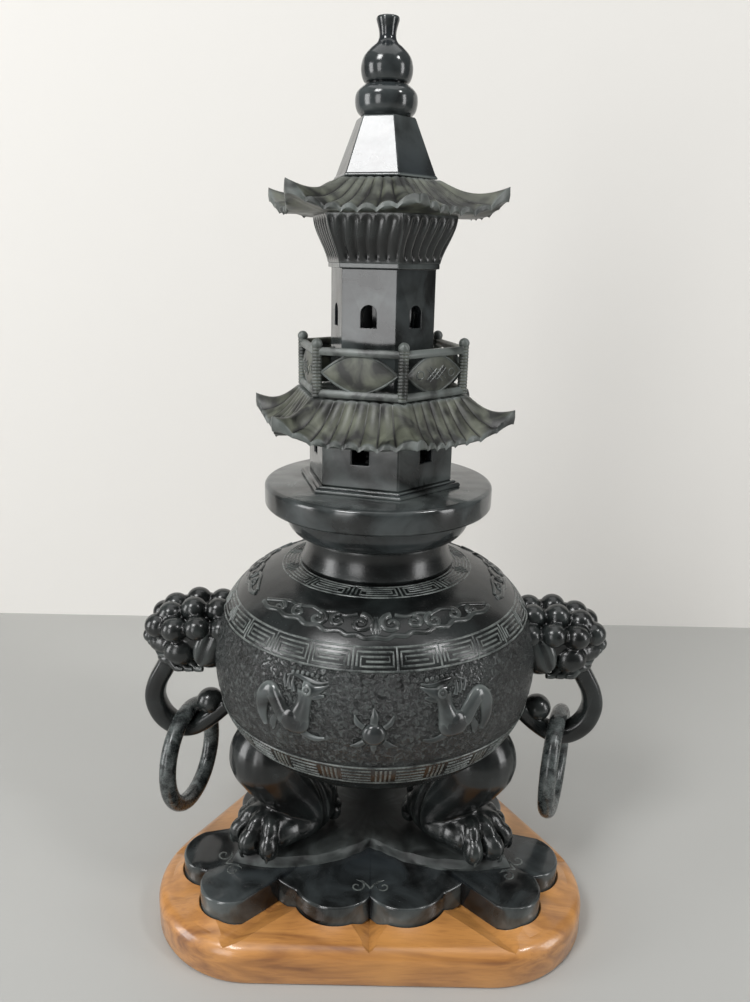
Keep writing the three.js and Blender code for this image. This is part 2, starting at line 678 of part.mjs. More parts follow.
// Balcony railing, from the top of the roof up
function railingBody() {
  const inner = RAILING_RADIUS - RAIL_WIDTH / 2;
  const outer = RAILING_RADIUS + RAIL_WIDTH / 2;
  const rail = (bottom, top) => {
    const outline = [[inner, bottom], [outer, bottom], [outer, top], [inner, top], [inner, bottom]];
    return lathe(outline, 6, HEX_TURN);
  };
  const pieces = [rail(0, RAIL_HEIGHT), rail(RAILING_HEIGHT - RAIL_HEIGHT, RAILING_HEIGHT)];
  const bay = RAILING_RADIUS - 2 * POST_RADIUS;
  const openTop = RAILING_HEIGHT - RAIL_HEIGHT;
  const middle = RAILING_HEIGHT / 2;
  const postHeight = RAILING_HEIGHT + POST_CAP_RADIUS / 2;
  const overlap = 0.8;
  for (let side = 0; side < 6; side++) {
    const corner = HEX_TURN + side * SIXTH_TURN;
    const post = new THREE.CylinderGeometry(POST_RADIUS, POST_RADIUS, postHeight, 6);
    post.rotateX(Math.PI / 2);
    post.translate(RAILING_RADIUS, 0, postHeight / 2);
    post.rotateZ(corner);
    const cap = new THREE.SphereGeometry(POST_CAP_RADIUS, 6, 5);
    cap.rotateX(Math.PI / 2);
    cap.translate(RAILING_RADIUS, 0, RAILING_HEIGHT + POST_CAP_RADIUS / 2);
    cap.rotateZ(corner);
    const lozenge = new THREE.Shape();
    lozenge.moveTo(-bay / 2 - overlap, middle);
    lozenge.lineTo(0, RAIL_HEIGHT - overlap);
    lozenge.lineTo(bay / 2 + overlap, middle);
    lozenge.lineTo(0, openTop + overlap);
    lozenge.closePath();
    const panel = new THREE.ExtrudeGeometry(lozenge, { depth: PANEL_THICKNESS, bevelEnabled: false });
    panel.translate(0, 0, -PANEL_THICKNESS / 2);
    panel.rotateX(Math.PI / 2);
    panel.rotateZ(Math.PI / 2);
    panel.translate(RAILING_RADIUS * HEX_INRADIUS, 0, 0);
    panel.rotateZ(corner + SIXTH_TURN / 2);
    pieces.push(solid(post), solid(cap), solid(panel));
  }
  return joined(pieces);
}

function upperStoreyBody() {
  const walls = hexPrism(UPPER_STOREY_RADIUS, 0, UPPER_STOREY_HEIGHT);
  const moulding = hexPrism(
    UPPER_STOREY_RADIUS + MOULDING_RELIEF,
    UPPER_STOREY_HEIGHT - MOULDING_HEIGHT,
    UPPER_STOREY_HEIGHT,
  );
  const hollow = hexPrism(hollowRadius(UPPER_STOREY_RADIUS, UPPER_WALL), -1, UPPER_STOREY_HEIGHT + 1);
  const storey = walls.add(moulding).subtract(hollow);
  const opening = {
    width: UPPER_WINDOW_WIDTH,
    height: UPPER_WINDOW_HEIGHT,
    sill: UPPER_WINDOW_SILL,
    arched: true,
  };
  return withWindows(storey, UPPER_STOREY_RADIUS, opening);
}

// Flared bracket course under the upper roof
function bracketBody() {
  const footRadius = UPPER_STOREY_RADIUS + MOULDING_RELIEF;
  const outline = [[0, 0]];
  for (let step = 0; step <= 4; step++) {
    const share = step / 4;
    const flare = (BRACKET_TOP_RADIUS - footRadius) * Math.sin((share * Math.PI) / 2);
    outline.push([footRadius + flare, BRACKET_HEIGHT * share]);
  }
  outline.push([0, BRACKET_HEIGHT]);
  const plugRadius = hollowRadius(UPPER_STOREY_RADIUS, UPPER_WALL) * HEX_INRADIUS - SEAT_GAP;
  const socketBottom = BRACKET_HEIGHT - TENON_LENGTH - SOCKET_BOTTOM_GAP;
  const socket = cylinder(SPIRE_PEG_RADIUS + SEAT_GAP, socketBottom, BRACKET_HEIGHT + 1);
  return lathe(outline, 6, HEX_TURN).add(cylinder(plugRadius, -TENON_LENGTH, 1)).subtract(socket);
}

function upperRoofBody() {
  const roof = roofBody(
    UPPER_ROOF_HEIGHT,
    SPIRE_FOOT_RADIUS + 1,
    BRACKET_TOP_RADIUS,
    UPPER_EAVE_REACH,
    UPPER_TIP_REACH,
    UPPER_TIP_RISE,
  );
  const socketBottom = UPPER_ROOF_HEIGHT - SPIRE_PEG_LENGTH - SOCKET_BOTTOM_GAP;
  return roof
    .add(cylinder(SPIRE_PEG_RADIUS, -TENON_LENGTH, 1))
    .subtract(cylinder(SPIRE_PEG_RADIUS + SEAT_GAP, socketBottom, UPPER_ROOF_HEIGHT + 1));
}

// Spire: a hexagonal pyramid without its tip
function spireBody() {
  const outline = [[0, 0], [SPIRE_FOOT_RADIUS, 0], [SPIRE_TOP_RADIUS, SPIRE_HEIGHT], [0, SPIRE_HEIGHT]];
  const socketBottom = SPIRE_HEIGHT - FINIAL_PEG_LENGTH - SOCKET_BOTTOM_GAP;
  return lathe(outline, 6, HEX_TURN)
    .add(cylinder(SPIRE_PEG_RADIUS, -SPIRE_PEG_LENGTH, 1))
    .subtract(cylinder(FINIAL_PEG_RADIUS + SEAT_GAP, socketBottom, SPIRE_HEIGHT + 1));
}

// Finial: a double gourd with a flared lip, on a peg
function finialBody() {
  const lowerMiddle = FINIAL_HEIGHT * 0.19;
  const waist = FINIAL_HEIGHT * 0.335;
  const upperMiddle = FINIAL_HEIGHT * 0.5;
  const shoulder = FINIAL_HEIGHT * 0.68;
  const outline = [
    [0, -FINIAL_PEG_LENGTH],
    [FINIAL_PEG_RADIUS, -FINIAL_PEG_LENGTH],
    [FINIAL_PEG_RADIUS, 0],
    [LOWER_GOURD_RADIUS * 0.8, 0],
    [LOWER_GOURD_RADIUS * 0.96, lowerMiddle / 2],
    [LOWER_GOURD_RADIUS, lowerMiddle],
    [LOWER_GOURD_RADIUS * 0.93, (lowerMiddle + waist) / 2],
    [GOURD_WAIST_RADIUS, waist],
    [UPPER_GOURD_RADIUS * 0.95, (waist + upperMiddle) / 2],
    [UPPER_GOURD_RADIUS, upperMiddle],
    [UPPER_GOURD_RADIUS * 0.85, (upperMiddle + shoulder) / 2],
    [(UPPER_GOURD_RADIUS + FINIAL_NECK_RADIUS) / 2.4, shoulder],
    [FINIAL_NECK_RADIUS, FINIAL_HEIGHT * 0.79],
    [FINIAL_LIP_RADIUS, FINIAL_HEIGHT * 0.97],
    [FINIAL_LIP_RADIUS * 0.8, FINIAL_HEIGHT],
    [0, FINIAL_HEIGHT],
  ];
  return lathe(outline, 20);
}

// Lion's head, in a frame whose origin is on the bowl's side at the handle's height, with +X outwards
function headBody() {
  const centre = HEAD_STAND_OFF;
  const pieces = [ellipsoid([centre, 0, 0], [HEAD_LENGTH / 2, HEAD_WIDTH / 2, HEAD_HEIGHT / 2], 12, 8)];
  const curlRows = [
    { elevation: 60, count: 4, from: 0, to: 270 },
    { elevation: 28, count: 7, from: -120, to: 120 },
    { elevation: 2, count: 3, from: -85, to: -35 },
    { elevation: 2, count: 3, from: 35, to: 85 },
  ];
  for (const { elevation, count, from, to } of curlRows) {
    for (let curl = 0; curl < count; curl++) {
      const turn = radians(from + ((to - from) * curl) / (count - 1));
      const tilt = radians(elevation);
      const place = [
        centre + (HEAD_LENGTH / 2 - 2.5) * Math.cos(tilt) * Math.cos(turn),
        (HEAD_WIDTH / 2 - 2.5) * Math.cos(tilt) * Math.sin(turn),
        (HEAD_HEIGHT / 2 - 2.5) * Math.sin(tilt),
      ];
      pieces.push(ellipsoid(place, [CURL_RADIUS, CURL_RADIUS, CURL_RADIUS], 6, 4));
    }
  }
  const muzzle = [centre + HEAD_LENGTH * 0.28, 0, -HEAD_HEIGHT * 0.26];
  const nose = [centre + HEAD_LENGTH * 0.55, 0, -HEAD_HEIGHT * 0.24];
  const chin = [centre + HEAD_LENGTH * 0.14, 0, -HEAD_HEIGHT * 0.44];
  pieces.push(ellipsoid(muzzle, [HEAD_LENGTH * 0.23, HEAD_WIDTH * 0.31, HEAD_HEIGHT * 0.2], 10, 6));
  pieces.push(ellipsoid(nose, [NOSE_RADIUS, NOSE_RADIUS, NOSE_RADIUS], 7, 5));
  pieces.push(ellipsoid(chin, [HEAD_LENGTH * 0.25, HEAD_WIDTH * 0.25, HEAD_HEIGHT * 0.13], 10, 5));
  for (const side of [-1, 1]) {
    const ear = [centre - HEAD_LENGTH * 0.16, (side * HEAD_WIDTH) / 2, -HEAD_HEIGHT * 0.15];
    pieces.push(ellipsoid(ear, [HEAD_LENGTH * 0.16, 3.5, HEAD_HEIGHT * 0.26], 7, 5));
  }
  return joined(pieces).subtract(bowlSpaceAt(HANDLE_HEIGHT));
}

// The bowl and the gap around it, seen from a point on its side at a height.
function bowlSpaceAt(height) {
  const space = geometryOf(lathe(bowlSpaceOutline()));
  space.translate(-bowlReach(height), 0, -height);
  return solid(space);
}

// Middle line of the strap, from inside the mouth, out and down, and back in under the ball
function strapCurve() {
  const bowlEnd = 0.76;
  const bowlSide = bowlReach(HANDLE_HEIGHT - STRAP_DROP * bowlEnd) - bowlReach(HANDLE_HEIGHT);
  const mouth = [HEAD_STAND_OFF + HEAD_LENGTH * 0.22, -HEAD_HEIGHT * 0.5];
  const bends = [
    [STRAP_REACH * 0.92, -STRAP_DROP * 0.54],
    [STRAP_REACH * 1.02, -STRAP_DROP * 0.7],
    [STRAP_REACH * 0.94, -STRAP_DROP * 0.86],
    [STRAP_REACH * 0.74, -STRAP_DROP * 0.965],
    [ringPlace(), -STRAP_DROP],
    [STRAP_REACH * 0.22, -STRAP_DROP * 0.95],
  ];
  const intoBowl = [bowlSide - STRAP_THICKNESS / 2, -STRAP_DROP * bowlEnd];
  const places = [mouth, ...bends, intoBowl];
  return new THREE.CatmullRomCurve3(places.map(([x, z]) => new THREE.Vector3(x, 0, z)));
}

// Distance out from the bowl's side to the middle of the ring
function ringPlace() {
  return STRAP_REACH / 2;
}

function strapBody() {
  const section = new THREE.Shape();
  const corners = 8;
  for (let corner = 0; corner < corners; corner++) {
    const turn = ((corner + 0.5) * 2 * Math.PI) / corners;
    const x = (STRAP_THICKNESS / 2) * Math.cos(turn);
    const y = (STRAP_WIDTH / 2) * Math.sin(turn);
    if (corner === 0) section.moveTo(x, y);
    else section.lineTo(x, y);
  }
  section.closePath();
  const extrusion = { steps: 22, extrudePath: strapCurve(), bevelEnabled: false };
  const tube = new THREE.ExtrudeGeometry(section, extrusion);
  const ballSink = 2.5;
  const ballHeight = STRAP_THICKNESS / 2 + LOOP_BALL_RADIUS - ballSink - STRAP_DROP * 0.91;
  const ball = [STRAP_REACH * 0.16, 0, ballHeight];
  return solid(tube)
    .add(ellipsoid(ball, [LOOP_BALL_RADIUS, LOOP_BALL_RADIUS, LOOP_BALL_RADIUS], 10, 7))
    .subtract(bowlSpaceAt(HANDLE_HEIGHT))
    .subtract(headSpace());
}

// The head and the gap around it
function headSpace() {
  const head = geometryOf(headBody());
  const shifts = [[1, 0, 0], [-1, 0, 0], [0, 1, 0], [0, -1, 0], [0, 0, 1], [0, 0, -1]];
  return joined(shifts.map(([x, y, z]) => {
    const shifted = head.clone().translate(x * SEAT_GAP, y * SEAT_GAP, z * SEAT_GAP);
    return solid(shifted);
  }));
}

// Ring in the YZ plane, hung from the origin
function ringBody() {
  const ring = new THREE.TorusGeometry(RING_RADIUS, RING_TUBE_RADIUS, 8, 28);
  ring.rotateY(Math.PI / 2);
  ring.translate(0, 0, RING_TUBE_RADIUS - RING_RADIUS + STRAP_THICKNESS / 2 + RING_PLAY);
  return solid(ring);
}

// Assembly
function place(parent, name, body, material, x = 0, z = 0, turn = 0) {
  const mesh = new THREE.Mesh(geometryOf(body), material);
  mesh.name = name;
  mesh.position.set(x, 0, z);
  mesh.rotation.z = turn;
  parent.add(mesh);
  return mesh;
}

const burner = new THREE.Group();
place(burner, "wood_stand", standBody(), lacqueredWood);
place(burner, "stone_plinth", slabBody(), polishedStone, 0, SLAB_BOTTOM);
for (const [side, direction] of Object.entries(FOOT_DIRECTIONS)) {
  place(burner, "leg_" + side, legBody(), carvedStone, 0, SOLE, direction);
}
place(burner, "bowl", bowlBody(), carvedStone, 0, BOWL_BOTTOM);
place(burner, "mouth_rim", rimBody(), polishedStone, 0, NECK_TOP);

const handles = { left: Math.PI, right: 0 };
for (const [side, turn] of Object.entries(handles)) {
  const handle = new THREE.Group();
  const outwards = new THREE.Group();
  handle.rotation.z = turn;
  outwards.position.set(bowlReach(HANDLE_HEIGHT), 0, BOWL_BOTTOM + HANDLE_HEIGHT);
  place(outwards, "lion_head_" + side, headBody(), carvedStone);
  place(outwards, "tongue_loop_" + side, strapBody(), carvedStone);
  place(outwards, "ring_" + side, ringBody(), ringStone, ringPlace(), -STRAP_DROP, RING_TURNS[side]);
  handle.add(outwards);
  burner.add(handle);
}

const lid = new THREE.Group();
lid.position.z = DISC_BOTTOM;
place(lid, "lid_disc", discBody(), polishedStone);
const pagoda = new THREE.Group();
pagoda.position.z = -DISC_BOTTOM;
place(pagoda, "storey_base", storeyBaseBody(), polishedStone, 0, STOREY_BASE_BOTTOM);
place(pagoda, "lower_storey", lowerStoreyBody(), polishedStone, 0, LOWER_STOREY_BOTTOM);
place(pagoda, "lower_roof", lowerRoofBody(), roofStone, 0, LOWER_ROOF_BOTTOM);
place(pagoda, "balcony_railing", railingBody(), roofStone, 0, BALCONY);
place(pagoda, "upper_storey", upperStoreyBody(), polishedStone, 0, BALCONY);
place(pagoda, "roof_bracket", bracketBody(), carvedStone, 0, BRACKET_BOTTOM);
place(pagoda, "upper_roof", upperRoofBody(), roofStone, 0, UPPER_ROOF_BOTTOM);
place(pagoda, "spire", spireBody(), polishedStone, 0, SPIRE_BOTTOM);
place(pagoda, "finial", finialBody(), polishedStone, 0, FINIAL_BOTTOM);
lid.add(pagoda);
burner.add(lid);

export default burner;
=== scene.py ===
"""Carved stone incense burner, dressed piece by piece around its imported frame.

Lengths are metres, the front faces -Y, and the origin is under the middle of the wooden stand.
"""

import math

import bpy
import numpy as np
from bpy.props import FloatProperty, FloatVectorProperty, IntProperty, PointerProperty
from mathutils import Matrix, Vector, noise


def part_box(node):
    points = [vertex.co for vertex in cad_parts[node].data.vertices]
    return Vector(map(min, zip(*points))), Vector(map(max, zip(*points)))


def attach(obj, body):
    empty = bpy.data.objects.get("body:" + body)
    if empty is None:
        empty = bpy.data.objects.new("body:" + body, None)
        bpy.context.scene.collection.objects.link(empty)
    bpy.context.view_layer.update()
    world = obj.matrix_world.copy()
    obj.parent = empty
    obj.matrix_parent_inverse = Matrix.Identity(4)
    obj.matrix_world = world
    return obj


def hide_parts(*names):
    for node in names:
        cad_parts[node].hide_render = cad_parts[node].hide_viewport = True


bl_info = {
    "name": "Stone Incense Burner",
    "version": (1, 0, 0),
    "blender": (4, 5, 0),
    "location": "3D View > Sidebar > Incense Burner",
    "description": "Carved stone tripod censer with a pagoda lid on a lacquered stand",
    "category": "Object",
}

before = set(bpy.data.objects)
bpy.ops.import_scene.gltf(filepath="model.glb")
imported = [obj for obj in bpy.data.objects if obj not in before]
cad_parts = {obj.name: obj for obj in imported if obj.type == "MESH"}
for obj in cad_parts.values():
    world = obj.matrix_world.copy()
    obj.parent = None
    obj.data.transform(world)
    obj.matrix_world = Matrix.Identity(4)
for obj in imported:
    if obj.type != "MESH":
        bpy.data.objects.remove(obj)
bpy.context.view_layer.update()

MM = 0.001
SIXTH = math.pi / 3
THIRD = 2 * SIXTH
FRONT = -math.pi / 2
# Direction of the pagoda's front corner, and how far that corner is from the Y axis.
HEX_TURN = math.radians(-76)
HEX_OFF_Y = math.radians(14)
# Inradius of a hexagon as a share of the distance to its corners.
HEX_INRADIUS = math.cos(math.pi / 6)
# The loose rings hang a little turned.
RING_TURNS = {"left": math.radians(-14), "right": math.radians(-20)}
FOOT_DIRECTIONS = {
    "front_left": math.radians(-150),
    "front_right": math.radians(-30),
    "rear": math.radians(90),
}
# Fullness of the bowl's shoulder: 2 would be an ellipse, and more is squarer.
FULLNESS = 2.3
# Four toes fan out round a point this many millimetres along the foot, at these angles in degrees.
TOE_CENTRE = 58
FIRST_TOE = -57
TOE_STEP = 38
# Fluted and tiled faces have this many steps for each fold.
FOLD_STEPS = 14


def linear(code):
    """Linear RGBA of an sRGB hex colour."""
    channels = [int(code[i : i + 2], 16) / 255 for i in (1, 3, 5)]
    return tuple(c / 12.92 if c <= 0.04045 else ((c + 0.055) / 1.055) ** 2.4 for c in channels) + (1.0,)


def colour(name, description, code):
    return FloatVectorProperty(
        name=name, description=description, subtype="COLOR", size=4, min=0, max=1, default=linear(code)
    )


def length(name, description, millimetres):
    return FloatProperty(name=name, description=description, unit="LENGTH", default=millimetres * MM, min=0)


class BurnerFinishes(bpy.types.PropertyGroup):
    """Colours of the stone and the wood."""

    polished_dark: colour("Polished stone", "Ground colour of the waxed black stone", "#0a0b0c")
    polished_cloud: colour("Polished cloud", "Cloudy patches in the waxed stone", "#2a2f32")
    carved_dark: colour("Carved stone", "Ground colour of the carved stone", "#0b0d0d")
    carved_cloud: colour("Carved cloud", "Grey bloom of the carved stone", "#1d2121")
    # Pale edge colour: partly stone rubbed bare, partly a painted highlight on sharp edges.
    rubbed_and_highlight: colour("Rubbed edge", "Where hands have rubbed an edge bare", "#6d7371")
    line: colour("Raised line", "Tops of the raised lines", "#484b45")
    roof_dark: colour("Roof groove", "Grime between the tiles", "#12130f")
    roof_pale: colour("Roof tile", "Olive grey of the tiles", "#5e6154")
    ring_dark: colour("Ring vein", "Dark veins in the rings", "#232727")
    ring_pale: colour("Ring stone", "Pale streaks in the rings", "#5f6564")
    wood_pale: colour("Wood", "Honey colour of the lacquered wood", "#b47d42")
    wood_dark: colour("Wood grain", "Dark grain of the wood", "#7e5029")
    floor: colour("Floor", "Studio floor", "#aaaaa7")
    wall: colour("Backdrop", "Studio wall", "#d6d4d0")


class BurnerSizes(bpy.types.PropertyGroup):
    """Sizes that the frame's boxes don't give."""

    stand_corner: length("Stand corner", "Radius of the stand's round corners", 53)
    stand_slope: length("Stand slope", "How far the top falls towards its edge", 3)
    stand_edge: length("Stand edge", "Radius of the edge round the top", 7)
    recess_gap: length("Recess gap", "Air between the plinth and its recess", 0.6)
    notch_depth: length("Notch depth", "How far a notch reaches in at the plinth", 5)
    foot_pad: length("Foot pad", "Height of the rough ground under the feet", 5)
    slab_core: length("Plinth core", "Radius of the plinth between its lobes", 70.5)
    foot_lobe_reach: length("Foot lobe reach", "From the axis to a foot lobe's centre", 88)
    foot_lobe: length("Foot lobe", "Radius of the lobes under the feet", 15.7)
    side_lobe_reach: length("Side lobe reach", "From the axis to a side lobe's centre", 53.5)
    side_lobe: length("Side lobe", "Radius of the lobes between the feet", 21.5)
    bowl_foot: length("Bowl foot", "Radius of the bowl's flat underside", 45)
    belly_height: length("Belly height", "From the underside to the widest place", 47)
    shoulder_rise: length("Shoulder rise", "From the widest place to the foot of the neck", 50.5)
    neck: length("Neck", "Radius of the neck", 35.5)
    bowl_wall: length("Bowl wall", "Thickness of the bowl's wall", 9)
    neck_bore: length("Neck bore", "Radius inside the neck", 27)
    fret_line: length("Fret line", "Half width of a raised line of the fret", 0.52)
    storey_wall: length("Storey wall", "Thickness of the pagoda's walls", 4.6)
    ring: length("Ring", "Radius of a ring's middle line", 26.6)
    ring_tube: length("Ring tube", "Radius of a ring's tube", 4.4)
    railing: length("Railing", "Height of the railing without its caps", 22)
    fret_units: IntProperty(name="Fret units", description="Spirals round the shoulder", default=24, min=6)
    tile_ribs: IntProperty(name="Tile ribs", description="Tiles on one side of a roof", default=8, min=2)


# Modelling helpers


def only(*pieces):
    """Leave edit mode and select just these pieces, the first one active."""
    if bpy.context.object and bpy.context.object.mode != "OBJECT":
        bpy.ops.object.mode_set(mode="OBJECT")
    bpy.ops.object.select_all(action="DESELECT")
    for piece in pieces:
        piece.select_set(True)
    if pieces:
        bpy.context.view_layer.objects.active = pieces[0]


def named(name):
    piece = bpy.context.object
    piece.name = name
    piece.data.name = name
    return piece


def spun(name, outline, steps, turn=0.0):
    """Draw a line of (radius, height) points and spin it round the Z axis."""
    only()
    bpy.ops.mesh.primitive_plane_add(size=MM)
    piece = named(name)
    bpy.ops.object.mode_set(mode="EDIT")
    bpy.ops.mesh.merge(type="CENTER")
    here = (0.0, 0.0)
    for i, (radius, height) in enumerate(outline):
        step = (radius - here[0], 0, height - here[1])
        if i:
            bpy.ops.mesh.extrude_vertices_move(TRANSFORM_OT_translate={"value": step})
        else:
            bpy.ops.transform.translate(value=step)
        here = (radius, height)
    bpy.ops.mesh.select_all(action="SELECT")
    bpy.ops.mesh.spin(steps=steps, angle=2 * math.pi, center=(0, 0, 0), axis=(0, 0, 1))
    bpy.ops.mesh.select_all(action="SELECT")
    bpy.ops.mesh.remove_doubles(threshold=1e-6)
    bpy.ops.mesh.normals_make_consistent(inside=False)
    bpy.ops.object.mode_set(mode="OBJECT")
    piece.rotation_euler.z = turn
    apply_place(piece)
    return piece


def apply_place(piece):
    only(piece)
    bpy.ops.object.transform_apply(location=True, rotation=True, scale=True)


def modify(piece, kind, **settings):
    """Add a modifier and apply it."""
    modifier = piece.modifiers.new(kind.title(), kind)
    for key, value in settings.items():
        setattr(modifier, key, value)
    only(piece)
    bpy.ops.object.modifier_apply(modifier=modifier.name)


def bevelled(piece, width, segments=2, angle=30):
    modify(
        piece,
        "BEVEL",
        width=width,
        segments=segments,
        limit_method="ANGLE",
        angle_limit=math.radians(angle),
        use_clamp_overlap=True,
    )


def crisp(piece):
    """Keep large faces flat beside their bevels."""
    modify(piece, "WEIGHTED_NORMAL", weight=100, keep_sharp=True)


def places(piece):
    """The mesh's points as an array."""
    flat = np.empty(len(piece.data.vertices) * 3)
    piece.data.vertices.foreach_get("co", flat)
    return flat.reshape(-1, 3)


def move_points(piece, points):
    piece.data.vertices.foreach_set("co", np.asarray(points, dtype=float).ravel())
    piece.data.update()


def around(angle, reach, height):
    """Points from their direction, their distance from the axis and their height."""
    return np.column_stack([reach * np.cos(angle), reach * np.sin(angle), height])


def rows_of(piece):
    """Direction and row of each point of a piece that was spun with row numbers for heights."""
    flat = places(piece)
    return np.arctan2(flat[:, 1], flat[:, 0]), np.rint(flat[:, 2]).astype(int)


def face_outwards(piece):
    only(piece)
    bpy.ops.object.mode_set(mode="EDIT")
    bpy.ops.mesh.select_all(action="SELECT")
    bpy.ops.mesh.remove_doubles(threshold=1e-6)
    bpy.ops.mesh.normals_make_consistent(inside=False)
    bpy.ops.object.mode_set(mode="OBJECT")


def joined(name, pieces):
    only(*pieces)
    if len(pieces) > 1:
        bpy.ops.object.join()
    return named(name)


def copied(piece, name):
    twin = piece.copy()
    twin.data = piece.data.copy()
    twin.name = name
    twin.data.name = name
    bpy.context.scene.collection.objects.link(twin)
    return twin


def ball(centre, radii, turn=(0, 0, 0), segments=24, rings=16):
    """An ellipsoid: centre and radii in metres, turn as Euler angles."""
    only()
    bpy.ops.mesh.primitive_uv_sphere_add(segments=segments, ring_count=rings, radius=1, location=centre)
    piece = bpy.context.object
    piece.scale = radii if hasattr(radii, "__len__") else (radii,) * 3
    piece.rotation_euler = turn
    apply_place(piece)
    return piece


def hoop(radius, tube, segments, tube_segments, centre, turn=(0, 0, 0)):
    """A ring of round section."""
    only()
    bpy.ops.mesh.primitive_torus_add(
        location=centre,
        rotation=turn,
        major_radius=radius,
        minor_radius=tube,
        major_segments=segments,
        minor_segments=tube_segments,
    )
    piece = bpy.context.object
    apply_place(piece)
    return piece


def clay(name, pieces, voxel, smoothing):
    """Fuse overlapping lumps into one smooth skin."""
    piece = joined(name, pieces)
    modify(piece, "REMESH", mode="VOXEL", voxel_size=voxel)
    modify(piece, "SMOOTH", factor=0.5, iterations=smoothing)
    return piece


def drawn(name, paths, radius, sides=1, widths=None):
    """Round strokes along paths of points; widths, where given, are shares of the radius along each path."""
    curve = bpy.data.curves.new(name, "CURVE")
    curve.dimensions = "3D"
    curve.bevel_depth = radius
    curve.bevel_resolution = sides
    curve.use_fill_caps = True
    for i, path in enumerate(paths):
        spline = curve.splines.new("POLY")
        spline.points.add(len(path) - 1)
        for j, point in enumerate(path):
            spline.points[j].co = (*point, 1)
            spline.points[j].radius = widths[i][j] if widths else 1
    piece = bpy.data.objects.new(name, curve)
    bpy.context.scene.collection.objects.link(piece)
    only(piece)
    bpy.ops.object.convert(target="MESH")
    return named(name)


def curved(points, count):
    """A smooth line through points, with count places along each stretch."""
    points = [Vector(p) for p in points]
    ends = [2 * points[0] - points[1], *points, 2 * points[-1] - points[-2]]
    line = []
    for a, b, c, d in zip(ends, ends[1:], ends[2:], ends[3:]):
        for step in range(count):
            t = step / count
            slope = (c - a) * t
            bend = (2 * a - 5 * b + 4 * c - d) * t * t
            twist = (3 * b - a - 3 * c + d) * t ** 3
            line.append(0.5 * (2 * b + slope + bend + twist))
    return [*line, points[-1]]


def fine(path, step):
    """The same path with no stretch longer than step."""
    out = [Vector(path[0])]
    for a, b in zip(path, path[1:]):
        a, b = Vector(a), Vector(b)
        count = max(1, math.ceil((b - a).length / step))
        out += [a.lerp(b, (i + 1) / count) for i in range(count)]
    return out


def settle(piece, material, body, slot, *nodes, smooth=35):
    """Finish a piece: its place in its mesh, its material, and what it rides on and stands for."""
    apply_place(piece)
    bpy.ops.object.shade_smooth_by_angle(angle=math.radians(smooth))
    piece.data.materials.clear()
    piece.data.materials.append(bpy.data.materials[material])
    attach(piece, body)
    if nodes:
        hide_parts(*nodes)
    return piece


def smooth_step(low, high, value):
    share = np.clip((value - low) / (high - low), 0, 1)
    return share * share * (3 - 2 * share)


# Materials


def add_node(tree, kind, inputs=None, **settings):
    """Add a node, set what it is told to, and link or fill its inputs."""
    node = tree.nodes.new(kind)
    for key, value in settings.items():
        setattr(node, key, value)
    for key, value in (inputs or {}).items():
        if isinstance(value, bpy.types.NodeSocket):
            tree.links.new(value, node.inputs[key])
        else:
            node.inputs[key].default_value = value
    return node


def per(size):
    """Texture scale whose features are about this many millimetres."""
    return 1 / (size * MM)


def new_material(name):
    """The empty node tree of a new material."""
    material = bpy.data.materials.new(name)
    material.use_nodes = True
    material.node_tree.nodes.clear()
    return material.node_tree


def noise_texture(tree, spot, size, detail, **inputs):
    """Noise whose features are about size millimetres."""
    inputs |= {"Vector": spot, "Scale": per(size), "Detail": detail}
    return add_node(tree, "ShaderNodeTexNoise", inputs).outputs["Fac"]


def mapped(tree, value, low=0, high=1, to_low=0, to_high=1):
    """A value mapped from between low and high to between to_low and to_high."""
    inputs = {"Value": value, "From Min": low, "From Max": high, "To Min": to_low, "To Max": to_high}
    return add_node(tree, "ShaderNodeMapRange", inputs).outputs["Result"]


def calculated(tree, operation, first, second):
    return add_node(tree, "ShaderNodeMath", {0: first, 1: second}, operation=operation).outputs[0]


def finish_surface(tree, colour_socket, roughness, normal, **inputs):
    """Give the material its surface."""
    inputs |= {"Base Color": colour_socket, "Roughness": roughness, "Normal": normal}
    surface = add_node(tree, "ShaderNodeBsdfPrincipled", inputs)
    add_node(tree, "ShaderNodeOutputMaterial", {"Surface": surface.outputs["BSDF"]})


def blend_colours(tree, share, first, second):
    return add_node(tree, "ShaderNodeMix", {0: share, 6: first, 7: second}, data_type="RGBA").outputs[2]


